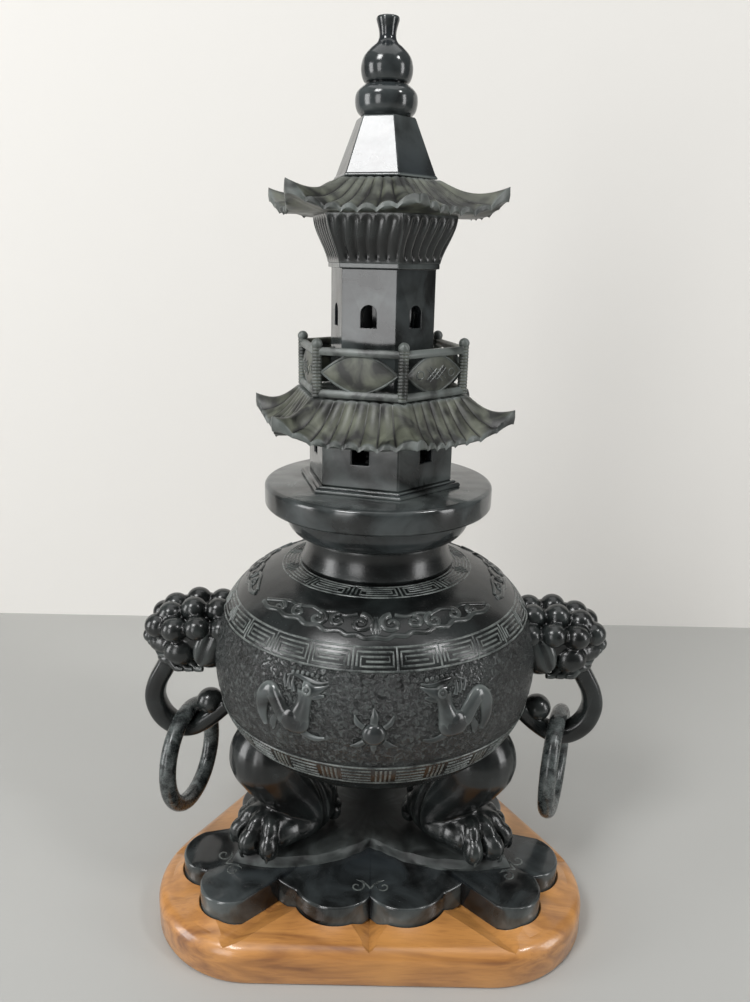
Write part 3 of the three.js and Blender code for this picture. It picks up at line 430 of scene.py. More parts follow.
def stone(
    name,
    dark,
    cloud,
    rubbed_and_highlight,
    roughness,
    cloud_size,
    grain,
    wear=0.5,
    relief=0.2,
    fold=0.07,
    wave=0.25,
    pits=None,
):
    """Waxed soft stone.

    Cloud size and grain are in millimetres, wear is how strongly sharp edges take the pale edge colour,
    partly as stone rubbed bare and partly as painted highlight, relief is the strength of the grain, fold
    is how sharp an edge or a hollow must be to take that edge colour or the painted near-black hollow
    shade, wave is how uneven the hand polish is in millimetres, and pits is a range of heights punched
    with a pointed tool.
    """
    tree = new_material(name)
    spot = add_node(tree, "ShaderNodeTexCoord").outputs["Object"]
    clouds = noise_texture(tree, spot, cloud_size, 6, Distortion=0.6)
    grains = noise_texture(tree, spot, grain, 4)
    # Pointiness is 0.5 on a flat face, more on an edge and less in a hollow.
    flat, margin = 0.5, 0.003
    point = add_node(tree, "ShaderNodeNewGeometry").outputs["Pointiness"]
    edge = mapped(tree, point, flat + margin, flat + fold)
    hollow_shade_mask = mapped(tree, point, flat - margin, flat - fold)
    ground = blend_colours(tree, mapped(tree, clouds, 0.4, 0.68), dark, cloud)
    # Hollows are painted near black: painted shade where less light reaches.
    painted_hollow_shade = linear("#060606")
    ground = blend_colours(tree, hollow_shade_mask, ground, painted_hollow_shade)
    # Sharp edges take the pale edge colour in patches: partly rubbed stone, partly painted highlight.
    patchy_wear_and_highlight = calculated(tree, "MULTIPLY", edge, mapped(tree, clouds, 0.3, 0.6))
    shown = blend_colours(tree, calculated(tree, "MULTIPLY", patchy_wear_and_highlight, wear), ground, rubbed_and_highlight)
    gloss = mapped(tree, grains, to_low=roughness - 0.05, to_high=roughness + 0.07)
    height, strength = grains, relief
    if pits:
        bottom, top = pits
        level = add_node(tree, "ShaderNodeSeparateXYZ", {"Vector": spot}).outputs["Z"]
        above = mapped(tree, level, bottom, bottom + MM)
        below = mapped(tree, level, top, top - MM)
        zone = calculated(tree, "MULTIPLY", above, below)
        punched = noise_texture(tree, spot, 2.1, 4, Roughness=0.6, Distortion=0.8)
        # The pits are this many times as deep as the grain.
        pit_depth = mapped(tree, punched, 0.4, 0.6, to_high=16.0)
        height = calculated(tree, "ADD", calculated(tree, "MULTIPLY", pit_depth, zone), grains)
        strength = 0.7
        # The crests between the pits are rubbed pale.
        crest = mapped(tree, punched, 0.48, 0.68, to_high=0.32)
        shown = blend_colours(tree, calculated(tree, "MULTIPLY", crest, zone), shown, rubbed_and_highlight)
    swells = noise_texture(tree, spot, 0.7 * cloud_size, 1)
    polish = add_node(tree, "ShaderNodeBump", {"Height": swells, "Distance": wave * MM})
    bump = add_node(
        tree,
        "ShaderNodeBump",
        {"Height": height, "Strength": strength, "Distance": 0.05 * MM, "Normal": polish.outputs["Normal"]},
    )
    finish_surface(tree, shown, gloss, bump.outputs["Normal"], IOR=1.52)


def make_stones(finish):
    """Soapstone, blackened and waxed: near black where polished, grey where tools and hands worked, with
    painted highlights on sharp edges and painted shade in hollows.
    """
    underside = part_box("bowl")[0].z
    # The ground between the lower band and the fret is punched all over.
    pits = (underside + 29 * MM, underside + 74.5 * MM)
    dark, cloud, rubbed_and_highlight = finish.carved_dark, finish.carved_cloud, finish.rubbed_and_highlight
    vein, streak = finish.ring_dark, finish.ring_pale
    groove, tile = finish.roof_dark, finish.roof_pale
    waxed, bloom = finish.polished_dark, finish.polished_cloud
    stone("waxed_black_soapstone", waxed, bloom, rubbed_and_highlight, 0.15, 22, 1.2, wear=0.8, wave=0.6)
    stone("carved_soapstone", dark, cloud, rubbed_and_highlight, 0.23, 16, 1.0, wear=0.45, relief=0.12)
    stone("punched_soapstone", dark, cloud, rubbed_and_highlight, 0.24, 18, 1.0, wear=0.4, pits=pits)
    stone("rubbed_soapstone", cloud, finish.line, rubbed_and_highlight, 0.26, 7, 0.8, wear=0.7)
    stone("rough_soapstone", dark, cloud, rubbed_and_highlight, 0.5, 12, 0.9, wear=0.6, relief=0.5)
    stone("veined_soapstone", vein, streak, streak, 0.26, 5, 0.8, wear=0.3)
    stone("tile_soapstone", groove, tile, streak, 0.4, 11, 1.0, wear=0.85, fold=0.035)


def make_wood(finish):
    """Turned and carved hardwood under clear lacquer: long dark grain, cloudy colour and a wet shine."""
    tree = new_material("lacquered_hardwood")
    spot = add_node(tree, "ShaderNodeTexCoord").outputs["Object"]
    # The grain runs from side to side, so its pattern is drawn out along X.
    stretched = add_node(tree, "ShaderNodeMapping", {"Vector": spot, "Scale": (0.12, 1.0, 1.0)})
    along = stretched.outputs["Vector"]
    bands = noise_texture(tree, along, 9, 5, Distortion=1.4)
    fibres = noise_texture(tree, along, 1.1, 3)
    patches = noise_texture(tree, spot, 45, 2)
    shown = blend_colours(tree, mapped(tree, bands, 0.42, 0.7), finish.wood_pale, finish.wood_dark)
    shown = blend_colours(tree, mapped(tree, fibres, 0.5, 0.8, to_high=0.5), shown, finish.wood_dark)
    amber = linear("#cf9550")
    shown = blend_colours(tree, mapped(tree, patches, 0.45, 0.7, to_high=0.5), shown, amber)
    bump = add_node(tree, "ShaderNodeBump", {"Height": fibres, "Strength": 0.25, "Distance": 0.05 * MM})
    lacquer = {"IOR": 1.5, "Coat Weight": 0.6, "Coat Roughness": 0.15}
    finish_surface(tree, shown, 0.38, bump.outputs["Normal"], **lacquer)


# Outlines that several pieces share


def side_share(angle, corner_angle, turn):
    """0 at a corner direction, 1 in the middle of a side, where corners repeat every turn."""
    from_corner = np.mod(angle - corner_angle, turn)
    return np.minimum(from_corner, turn - from_corner) / (turn / 2)


def circle_reach(angle, centre_reach, centre_angle, radius):
    """Distance from the axis to the far side of a circle in a direction, or 0 where it misses."""
    offset = centre_reach * np.sin(angle - centre_angle)
    ahead = centre_reach * np.cos(angle - centre_angle)
    inside = np.maximum(radius * radius - offset * offset, 0)
    return np.where((np.abs(offset) <= radius) & (ahead > 0), ahead + np.sqrt(inside), 0)


def slab_reach(angle):
    """Outline of the plinth: double lobes under the feet and between them."""
    size = bpy.context.scene.burner_sizes
    foot_spread, side_spread = math.radians(8.4), math.radians(18.6)
    reach = np.full_like(angle, size.slab_core)
    for direction in FOOT_DIRECTIONS.values():
        for side in (-1, 1):
            foot_turn = direction + side * foot_spread
            side_turn = direction + SIXTH + side * side_spread
            foot = circle_reach(angle, size.foot_lobe_reach, foot_turn, size.foot_lobe)
            lobe = circle_reach(angle, size.side_lobe_reach, side_turn, size.side_lobe)
            reach = np.maximum(reach, np.maximum(foot, lobe))
    from_side = (1 - side_share(angle, math.pi / 2, THIRD)) * SIXTH
    cusp = circle_reach(from_side, size.side_lobe_reach, side_spread, size.side_lobe)
    return np.where(from_side < side_spread, cusp, reach)


def stand_reach(angle, inset):
    """Outline of the stand: a triangle with round corners, set in by inset."""
    size = bpy.context.scene.burner_sizes
    inradius = -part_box("wood_stand")[0].y - inset
    corner_radius = np.maximum(size.stand_corner - inset, MM)
    from_corner = side_share(angle, math.pi / 2, THIRD) * SIXTH
    straight = inradius / np.cos(SIXTH - from_corner)
    corner = circle_reach(from_corner, 2 * (inradius - corner_radius), 0, corner_radius)
    along = inradius * np.tan(SIXTH - from_corner)
    return np.where(along < (inradius - corner_radius) * math.tan(SIXTH), straight, corner)


def bowl_reach(height):
    """Outside radius of the bowl at a height over its underside."""
    size = bpy.context.scene.burner_sizes
    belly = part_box("bowl")[1].x
    low = np.clip((size.belly_height - height) / size.belly_height, 0, 1)
    high = np.clip((height - size.belly_height) / size.shoulder_rise, 0, 1)
    under = size.bowl_foot + (belly - size.bowl_foot) * np.sqrt(1 - low * low)
    neck_foot = size.neck - 5 * MM
    over = neck_foot + (belly - neck_foot) * (1 - high ** FULLNESS) ** (1 / FULLNESS)
    return np.where(height < size.belly_height, under, over)


def bowl_skin():
    """Table of the bowl's outside: climb from the widest place, radius, height and outward normal."""
    size = bpy.context.scene.burner_sizes
    height = np.linspace(0.2 * MM, (size.belly_height + size.shoulder_rise) * 0.9995, 1500)
    radius = bowl_reach(height)
    step = np.hypot(np.diff(height), np.diff(radius))
    climb = np.concatenate([[0], np.cumsum(step)])
    climb -= np.interp(size.belly_height, height, climb)
    rise, run = np.gradient(height, climb), np.gradient(radius, climb)
    return climb, radius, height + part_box("bowl")[0].z, rise, -run


def onto_bowl(piece, middle, mid_reach, squeeze=1.0, sink=0.0):
    """Wrap a flat piece round the bowl.

    X runs round it from the direction middle, Y climbs it and Z stands out.
    """
    climb, radius, height, out_radial, out_up = bowl_skin()
    flat = places(piece)
    angle = middle + flat[:, 0] / mid_reach
    lift = flat[:, 2] * squeeze - sink
    reach = np.interp(flat[:, 1], climb, radius) + lift * np.interp(flat[:, 1], climb, out_radial)
    up = np.interp(flat[:, 1], climb, height) + lift * np.interp(flat[:, 1], climb, out_up)
    move_points(piece, around(angle, reach, up))


def climb_at_reach(reach):
    """Climb of the place on the shoulder that is this far from the axis."""
    climb, radius, _, _, _ = bowl_skin()
    shoulder = climb > 0
    return float(np.interp(-reach, -radius[shoulder], climb[shoulder]))


def spiral(centre, radius, turns, start, direction=1):
    """A flat spiral from its outer end inwards."""
    steps_for_a_turn, narrowing = 20, 0.88
    count = int(steps_for_a_turn * turns)
    path = []
    for i in range(count + 1):
        reach = radius * (1 - narrowing * i / count)
        turn = start + direction * turns * math.tau * i / count
        path.append(Vector((centre[0] + reach * math.cos(turn), centre[1] + reach * math.sin(turn), 0)))
    return path


def lobed(name, rows, reaches):
    """Spin rows of (kind, inset, height), where kind 0 is on the axis.

    The function reaches gives the outlines of kinds 1 and 2 from the direction and the inset.
    """
    piece = spun(name, [(kind and 1 + row, row) for row, (kind, _, _) in enumerate(rows)], 360)
    angle, row = rows_of(piece)
    kind, inset, height = (np.array(column)[row] for column in zip(*rows))
    first, second = reaches(angle, inset)
    reach = np.where(kind == 1, first, np.where(kind == 2, second, 0))
    move_points(piece, around(angle, reach, height))
    return piece


def quarter_round(radius, top, steps):
    """Rows of (kind, inset, height) round an outside edge of kind 1."""
    turns = [step * math.pi / 2 / (steps - 1) for step in range(steps)]
    return [(1, radius * (1 - math.cos(turn)), top - radius * (1 - math.sin(turn))) for turn in turns]


# Stand and plinth


class BURNER_OT_stand(bpy.types.Operator):
    """Lacquered wooden stand with its recess and notches"""

    bl_idname = "burner.stand"
    bl_label = "Wooden stand"

    def execute(self, context):
        size = context.scene.burner_sizes
        low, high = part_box("wood_stand")
        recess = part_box("stone_plinth")[0].z - 0.4 * MM
        # Kind 1 follows the stand's outline and kind 2 the plinth's.
        rows = [(0, 0, 0), (1, 2 * MM, 0), (1, 0.6 * MM, 0.6 * MM), (1, 0, 2 * MM)]
        rows += quarter_round(size.stand_edge, high.z - size.stand_slope, 9)
        rows += [(2, 0.5 * MM, high.z), (2, 0, high.z - 0.5 * MM), (2, 0, recess), (0, 0, recess)]

        def reaches(angle, inset):
            return stand_reach(angle, inset), slab_reach(angle) + size.recess_gap + inset

        piece = lobed("stand", rows, reaches)
        move_points(piece, np.clip(places(piece), low, high))
        face_outwards(piece)
        for notch in self.notches(size, high.z):
            modify(piece, "BOOLEAN", object=notch, operation="DIFFERENCE", solver="EXACT")
            bpy.data.objects.remove(notch)
        settle(piece, "lacquered_hardwood", "stand", "wood", "wood_stand", smooth=24)
        return {"FINISHED"}

    def notches(self, size, top):
        """Upside-down wedges across the rim, opposite the hollows of the plinth."""
        for direction in FOOT_DIRECTIONS.values():
            for turn, width in ((SIXTH, 18 * MM), (SIXTH / 3, 24 * MM), (-SIXTH / 3, 24 * MM)):
                # The wedge stands out over the top, so its upper edge is wider than the notch.
                run, rise = 2 * size.slab_core, size.notch_depth + 3 * MM
                half = rise * (width / 2) / size.notch_depth
                only()
                bpy.ops.mesh.primitive_cube_add(size=1)
                wedge = named("notch")
                points = places(wedge)
                x = np.where(points[:, 0] > 0, run, 0.6 * size.slab_core)
                y = np.where(points[:, 2] > 0, points[:, 1] * 2 * half, points[:, 1] * 0.01 * half)
                z = np.where(points[:, 2] > 0, rise, 0.0)
                move_points(wedge, np.column_stack([x, y, z]))
                spot = Matrix.Rotation(direction + turn, 4, "Z")
                wedge.data.transform(Matrix.Translation((0, 0, top - size.notch_depth)) @ spot)
                yield wedge


class BURNER_OT_plinth(bpy.types.Operator):
    """Lobed stone plinth, the rough pads under the feet and the engraved scrolls"""

    bl_idname = "burner.plinth"
    bl_label = "Stone plinth"

    def execute(self, context):
        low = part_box("stone_plinth")[0].z
        pad_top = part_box("stone_plinth")[1].z
        top = pad_top - context.scene.burner_sizes.foot_pad
        rows = [(0, 0, low), (1, 0.6 * MM, low), (1, 0, low + 0.6 * MM)]
        rows += quarter_round(1.3 * MM, top, 5)
        rows += [(2, 0, top), (0, 0, top)]

        def reaches(angle, inset):
            return slab_reach(angle) - inset, 0.5 * slab_reach(angle)

        piece = lobed("plinth", rows, reaches)
        face_outwards(piece)
        settle(piece, "waxed_black_soapstone", "burner", "polished_stone", "stone_plinth", smooth=30)
        self.pad(top, pad_top)
        self.scrolls(top)
        return {"FINISHED"}

    def pad(self, top, pad_top):
        """Raised rough ground that the paws were cut out of."""
        piece = spun("foot_pad", [(0, 0), (1, 0), (1, 1), (0.985, 2), (0.955, 3), (0.5, 3), (0, 3)], 240)
        climbs = np.array([-0.5 * MM, 1.5 * MM, 3.6 * MM, pad_top - top])
        flat = places(piece)
        share = np.hypot(flat[:, 0], flat[:, 1])
        angle, level = rows_of(piece)
        towards = 1 - side_share(angle, math.pi / 2, THIRD)
        spots = zip(9 * np.cos(angle), 9 * np.sin(angle), 1.7 * level)
        waves = np.array([noise.noise(spot) for spot in spots])
        # Between the feet the pad is narrow, and its edge is ragged.
        between_feet, to_feet, ragged = 29, 53, 1.6
        reach = (between_feet + to_feet * towards ** 1.5 + ragged * waves) * MM * share
        x, y = reach * np.cos(angle), reach * np.sin(angle)
        bumps = np.array([noise.noise((240 * east, 240 * north, 0)) for east, north in zip(x, y)])
        height = top + climbs[level] + np.where(level == 3, 0.2 * MM * bumps, 0)
        move_points(piece, np.column_stack([x, y, height]))
        face_outwards(piece)
        settle(piece, "rough_soapstone", "burner", "carved_stone", smooth=40)

    def scrolls(self, top):
        """Thin double scrolls scratched near the cusps of the lobes."""
        paths = []
        for direction in FOOT_DIRECTIONS.values():
            for turn, reach in ((SIXTH, 57 * MM), (0, 84 * MM)):
                facing = Matrix.Rotation(direction + turn + math.pi / 2, 4, "Z")
                spot = facing @ Matrix.Translation((0, -reach, 0))
                for side in (-1, 1):
                    curl = spiral((side * 6.6 * MM, 0), 4.2 * MM, 1.2, math.pi / 2, direction=side)
                    tail = [(0, -1.6 * MM, 0), (side * 1.6 * MM, 1.0 * MM, 0), (side * 3.8 * MM, 3.6 * MM, 0)]
                    paths.append([spot @ Vector(p) + Vector((0, 0, top)) for p in [*tail, *curl]])
        piece = drawn("plinth_scrolls", paths, 0.42 * MM)
        points = places(piece)
        flatness = 0.35
        points[:, 2] = top + (points[:, 2] - top) * flatness
        move_points(piece, points)
        settle(piece, "rubbed_soapstone", "burner", "polished_stone")


# Legs


class BURNER_OT_legs(bpy.types.Operator):
    """Three lion's legs on their paws"""

    bl_idname = "burner.legs"
    bl_label = "Legs"

    def execute(self, context):
        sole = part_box("leg_rear")[0].z
        leg = self.flesh()
        claws = self.claws()
        for side, direction in FOOT_DIRECTIONS.items():
            spot = Matrix.Translation((0, 0, sole)) @ Matrix.Rotation(direction, 4, "Z")
            for part, name in ((leg, "lion_leg_" + side), (claws, "claws_" + side)):
                twin = copied(part, name)
                twin.data.transform(spot)
                nodes = ("leg_" + side,) if part is leg else ()
                settle(twin, "carved_soapstone", "burner", "carved_stone", *nodes, smooth=60)
        bpy.data.objects.remove(leg)
        bpy.data.objects.remove(claws)
        return {"FINISHED"}

    def flesh(self):
        """Leg with its foot along +X, from the sole up."""
        # The limb is (x, z, radius) from the bowl down, and a lump is (centre, radii, turn), in millimetres.
        limb = [(60, 52, 21), (55.5, 43, 19.5), (49, 34, 17.5), (43, 25, 16), (39, 16, 14.5), (39, 11, 12)]
        lumps = [((x, 0, z), (r, 0.97 * r, r), 0) for x, z, r in curved(limb, 4)]
        lumps += [
            ((48, 0, 10), (18, 15.5, 10.5), 0),
            ((58, 0, 10), (18, 16.5, 10.5), 0),
            ((60, 0, 15), (13, 13, 8), 0),
        ]
        for turn in self.toe_turns():
            x, y = TOE_CENTRE + 15 * math.cos(turn), 13.5 * math.sin(turn)
            lumps.append(((x, y, 7.6), (9.0, 6.0, 8.2), turn))
            lumps.append(((x - 6 * math.cos(turn), y - 5 * math.sin(turn), 14.6), (9.0, 5.4, 7.2), turn))
        for lock, (x, z) in enumerate(((25, 9), (28, 21), (32, 34))):
            lumps.append(((x, 0, z), (4.5, 7 + lock, 8.5), 0))
        pieces = [ball(Vector(c) * MM, [r * MM for r in radii], (0, 0, turn)) for c, radii, turn in lumps]
        piece = clay("leg", pieces, 0.9 * MM, 9)
        points = places(piece) / MM
        x, y, z = points.T
        normal = np.empty(len(points) * 3)
        piece.data.vertices.foreach_get("normal", normal)
        normal = normal.reshape(-1, 3)
        # Fur: fine locks that run down the back of the leg and over the instep.
        back = smooth_step(30, 25, x - 0.12 * z) * smooth_step(2, 6, z)
        lock = np.abs(np.sin(y * 0.55 + 1.3 * np.sin(z * 0.3)))
        fur = (lock ** 0.7 - 0.6) * 1.5 * back
        # A groove parts the thigh from the tuft behind it.
        beside = (x - 31 - 0.22 * z - 0.01 * (z - 24) ** 2) / 1.5
        groove = -1.4 * np.exp(-(beside ** 2)) * smooth_step(4, 10, z)
        # Gaps between the toes.
        half_toe = TOE_STEP / 2
        toe_turn = np.degrees(np.arctan2(y, x - TOE_CENTRE))
        gap = np.abs(np.mod(toe_turn - FIRST_TOE + half_toe, TOE_STEP) - half_toe) / half_toe
        toes = -2.2 * smooth_step(0.76, 1.0, gap) * smooth_step(60, 66, x) * smooth_step(20, 12, z)
        points += normal * (fur + groove + toes)[:, None]
        # The sole is flat, and the top stays under the skin of the bowl.
        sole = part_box("leg_rear")[0].z
        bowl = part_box("bowl")[0].z - sole
        climb, radius, height, _, _ = bowl_skin()
        under = climb < 0
        reach = np.hypot(points[:, 0], points[:, 1]) * MM
        ceiling = np.interp(reach, radius[under], height[under]) - sole
        ceiling = np.where(reach < radius.min(), bowl, ceiling) / MM + 1.5
        points[:, 2] = np.clip(points[:, 2], 0, ceiling)
        move_points(piece, points * MM)
        return piece

    def toe_turns(self):
        return [math.radians(FIRST_TOE + TOE_STEP * toe) for toe in range(4)]

    def claws(self):
        """Shiny hooked claws in front of the toes."""
        paths, widths = [], []
        shape = [(0, 9.0), (2.0, 8.0), (3.4, 5.2), (3.2, 2.2), (2.0, 0.8)]
        for turn in self.toe_turns():
            along = Vector((math.cos(turn), 0.9 * math.sin(turn), 0))
            start = Vector((TOE_CENTRE * MM, 0, 0)) + along * 20.5 * MM
            hook = [start + along * (out - 1.0) * MM + Vector((0, 0, up * MM)) for out, up in shape]
            path = curved(hook, 4)
            paths.append(path)
            widths.append([1 - 0.75 * i / (len(path) - 1) for i in range(len(path))])
        return drawn("claws", paths, 1.6 * MM, 4, widths)


# Bowl


class BURNER_OT_bowl(bpy.types.Operator):
    """The bowl: polished shoulder and neck, punched belly"""

    bl_idname = "burner.bowl"
    bl_label = "Bowl"

    def execute(self, context):
        size = context.scene.burner_sizes
        low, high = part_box("bowl")
        wide = size.belly_height + size.shoulder_rise
        outside = [(0.0, 0.0), (size.bowl_foot * 0.6, 0.0), (size.bowl_foot, 0.0)]
        # Heights of the rows in millimetres, close together where the ground is punched or turns in fast.
        heights = [0.15, 0.6, 1.4, 2.6, 4.2, 6.2, 8.6, 11.2, 14, 17]
        heights += list(np.arange(17.5, 29.1, 1.0)) + list(np.arange(29.5, 74.6, 0.95))
        heights += list(np.arange(75, 90, 1.2)) + list(np.arange(90, 96, 0.5)) + [96.4, 96.8, 97.1, 97.3]
        heights = [h * MM for h in heights if h * MM < wide * 0.9995]
        outside += [(float(bowl_reach(np.array(h))), h) for h in heights]
        top = high.z - low.z
        neck_foot = wide - 0.2 * MM
        # The neck is hollowed a little between its foot and its top.
        for share, reach in ((0.15, 3.0), (0.35, 1.2), (0.6, 0.2), (0.85, 0.0), (0.97, 0.3)):
            outside.append((size.neck + reach * MM, neck_foot + (top - neck_foot) * share))
        outside += [(size.neck, top), (size.neck_bore, top)]
        belly = high.x - size.bowl_wall
        rise = size.shoulder_rise - size.bowl_wall
        for step in range(13):
            turn = step * math.pi / 24
            reach = size.neck_bore + (belly - size.neck_bore) * math.sin(turn) ** (2 / FULLNESS)
            outside.append((reach, size.belly_height + rise * math.cos(turn) ** (2 / FULLNESS)))
        floor, floor_reach = size.bowl_wall + MM, size.bowl_foot - size.bowl_wall
        for step in range(1, 10):
            turn = step * math.pi / 18
            reach = floor_reach + (belly - floor_reach) * math.cos(turn)
            outside.append((reach, size.belly_height - (size.belly_height - floor) * math.sin(turn)))
        outside.append((0.0, floor))
        piece = spun("carved_bowl", outside, 400)
        self.punch(piece)
        piece.data.transform(Matrix.Translation((0, 0, low.z)))
        settle(piece, "punched_soapstone", "burner", "carved_stone", "bowl", smooth=50)
        return {"FINISHED"}

    def punch(self, piece):
        """Sink the ground between the bands and roughen it."""
        points = places(piece)
        x, y, z = points.T
        reach = np.hypot(x, y)
        skin = bowl_reach(np.clip(z, 0, None))
        outer = reach > skin - MM
        zone = smooth_step(28.6 * MM, 29.6 * MM, z) * smooth_step(75 * MM, 74 * MM, z) * outer
        rough = np.zeros(len(points))
        for i in np.nonzero(zone > 0)[0]:
            spot = Vector(points[i])
            rough[i] = noise.noise(spot * per(2.6)) + 0.6 * noise.noise(spot * per(1.4))
        depth = zone * (0.45 * MM - rough * 0.4 * MM)
        scale = (reach - depth) / np.maximum(reach, 1e-9)
        points[:, 0] *= scale
        points[:, 1] *= scale
        move_points(piece, points)


class BURNER_OT_frets(bpy.types.Operator):
    """Raised key-fret bands on the shoulder and round the neck, and the barred band below"""

    bl_idname = "burner.frets"
    bl_label = "Fret bands"

    def execute(self, context):
        size = context.scene.burner_sizes
        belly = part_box("bowl")[1].x
        self.band("shoulder_fret", size.fret_units, belly, (28.0 * MM, 38.6 * MM), size.fret_line)
        outer, inner = climb_at_reach(47.5 * MM), climb_at_reach(38.5 * MM)
        self.band("neck_fret", size.fret_units // 2, 43 * MM, (outer, inner), size.fret_line * 0.85)
        self.bars(size)
        return {"FINISHED"}

    def band(self, name, units, mid_reach, climbs, line):
        """Square spirals between two rails, each the mirror of the next."""
        # A spiral is drawn on a grid of this many columns and rows.
        columns, rows = 22, 10
        girth = math.tau * mid_reach
        pitch = girth / units
        wide, tall = pitch / columns, (climbs[1] - climbs[0]) / rows
        turns = [(2, 2), (2, 8), (20, 8), (20, 2), (4, 2), (4, 6), (18, 6), (18, 4), (6.5, 4)]
        paths = []
        for unit in range(units):
            shape = turns if unit % 2 else [(columns - x, y) for x, y in turns]
            start = unit * pitch
            paths.append([(start + x * wide, climbs[0] + y * tall, 0) for x, y in shape])
            paths.append([(start, climbs[0], 0), (start, climbs[1], 0)])
        for level in climbs:
            paths.append([(0, level, 0), (girth, level, 0)])
        piece = drawn(name, [fine(path, 2.5 * MM) for path in paths], line)
        onto_bowl(piece, FRONT + math.pi / units, mid_reach, squeeze=0.75)
        settle(piece, "rubbed_soapstone", "burner", "carved_stone", smooth=60)

    def bars(self, size):
        """Groups of long bars and short uprights between two rails under the belly."""
        units, mid_reach = 20, 77 * MM
        pitch = math.tau * mid_reach / units
        low, high = -31.5 * MM, -19.3 * MM
        paths = [[(0, level, 0), (math.tau * mid_reach, level, 0)] for level in (low, high)]
        for unit in range(units):
            start = unit * pitch
            for bar in range(4):
                x = start + (0.06 + 0.085 * bar) * pitch
                paths.append([(x, low + 1.6 * MM, 0), (x, high - 1.6 * MM, 0)])
            for bar in range(4):
                level = low + (high - low) * (0.2 + 0.2 * bar)
                paths.append([(start + 0.42 * pitch, level, 0), (start + 0.96 * pitch, level, 0)])
        piece = drawn("lower_band", [fine(path, 2.5 * MM) for path in paths], size.fret_line)
        onto_bowl(piece, FRONT, mid_reach, squeeze=0.8)
        settle(piece, "rubbed_soapstone", "burner", "carved_stone", smooth=60)


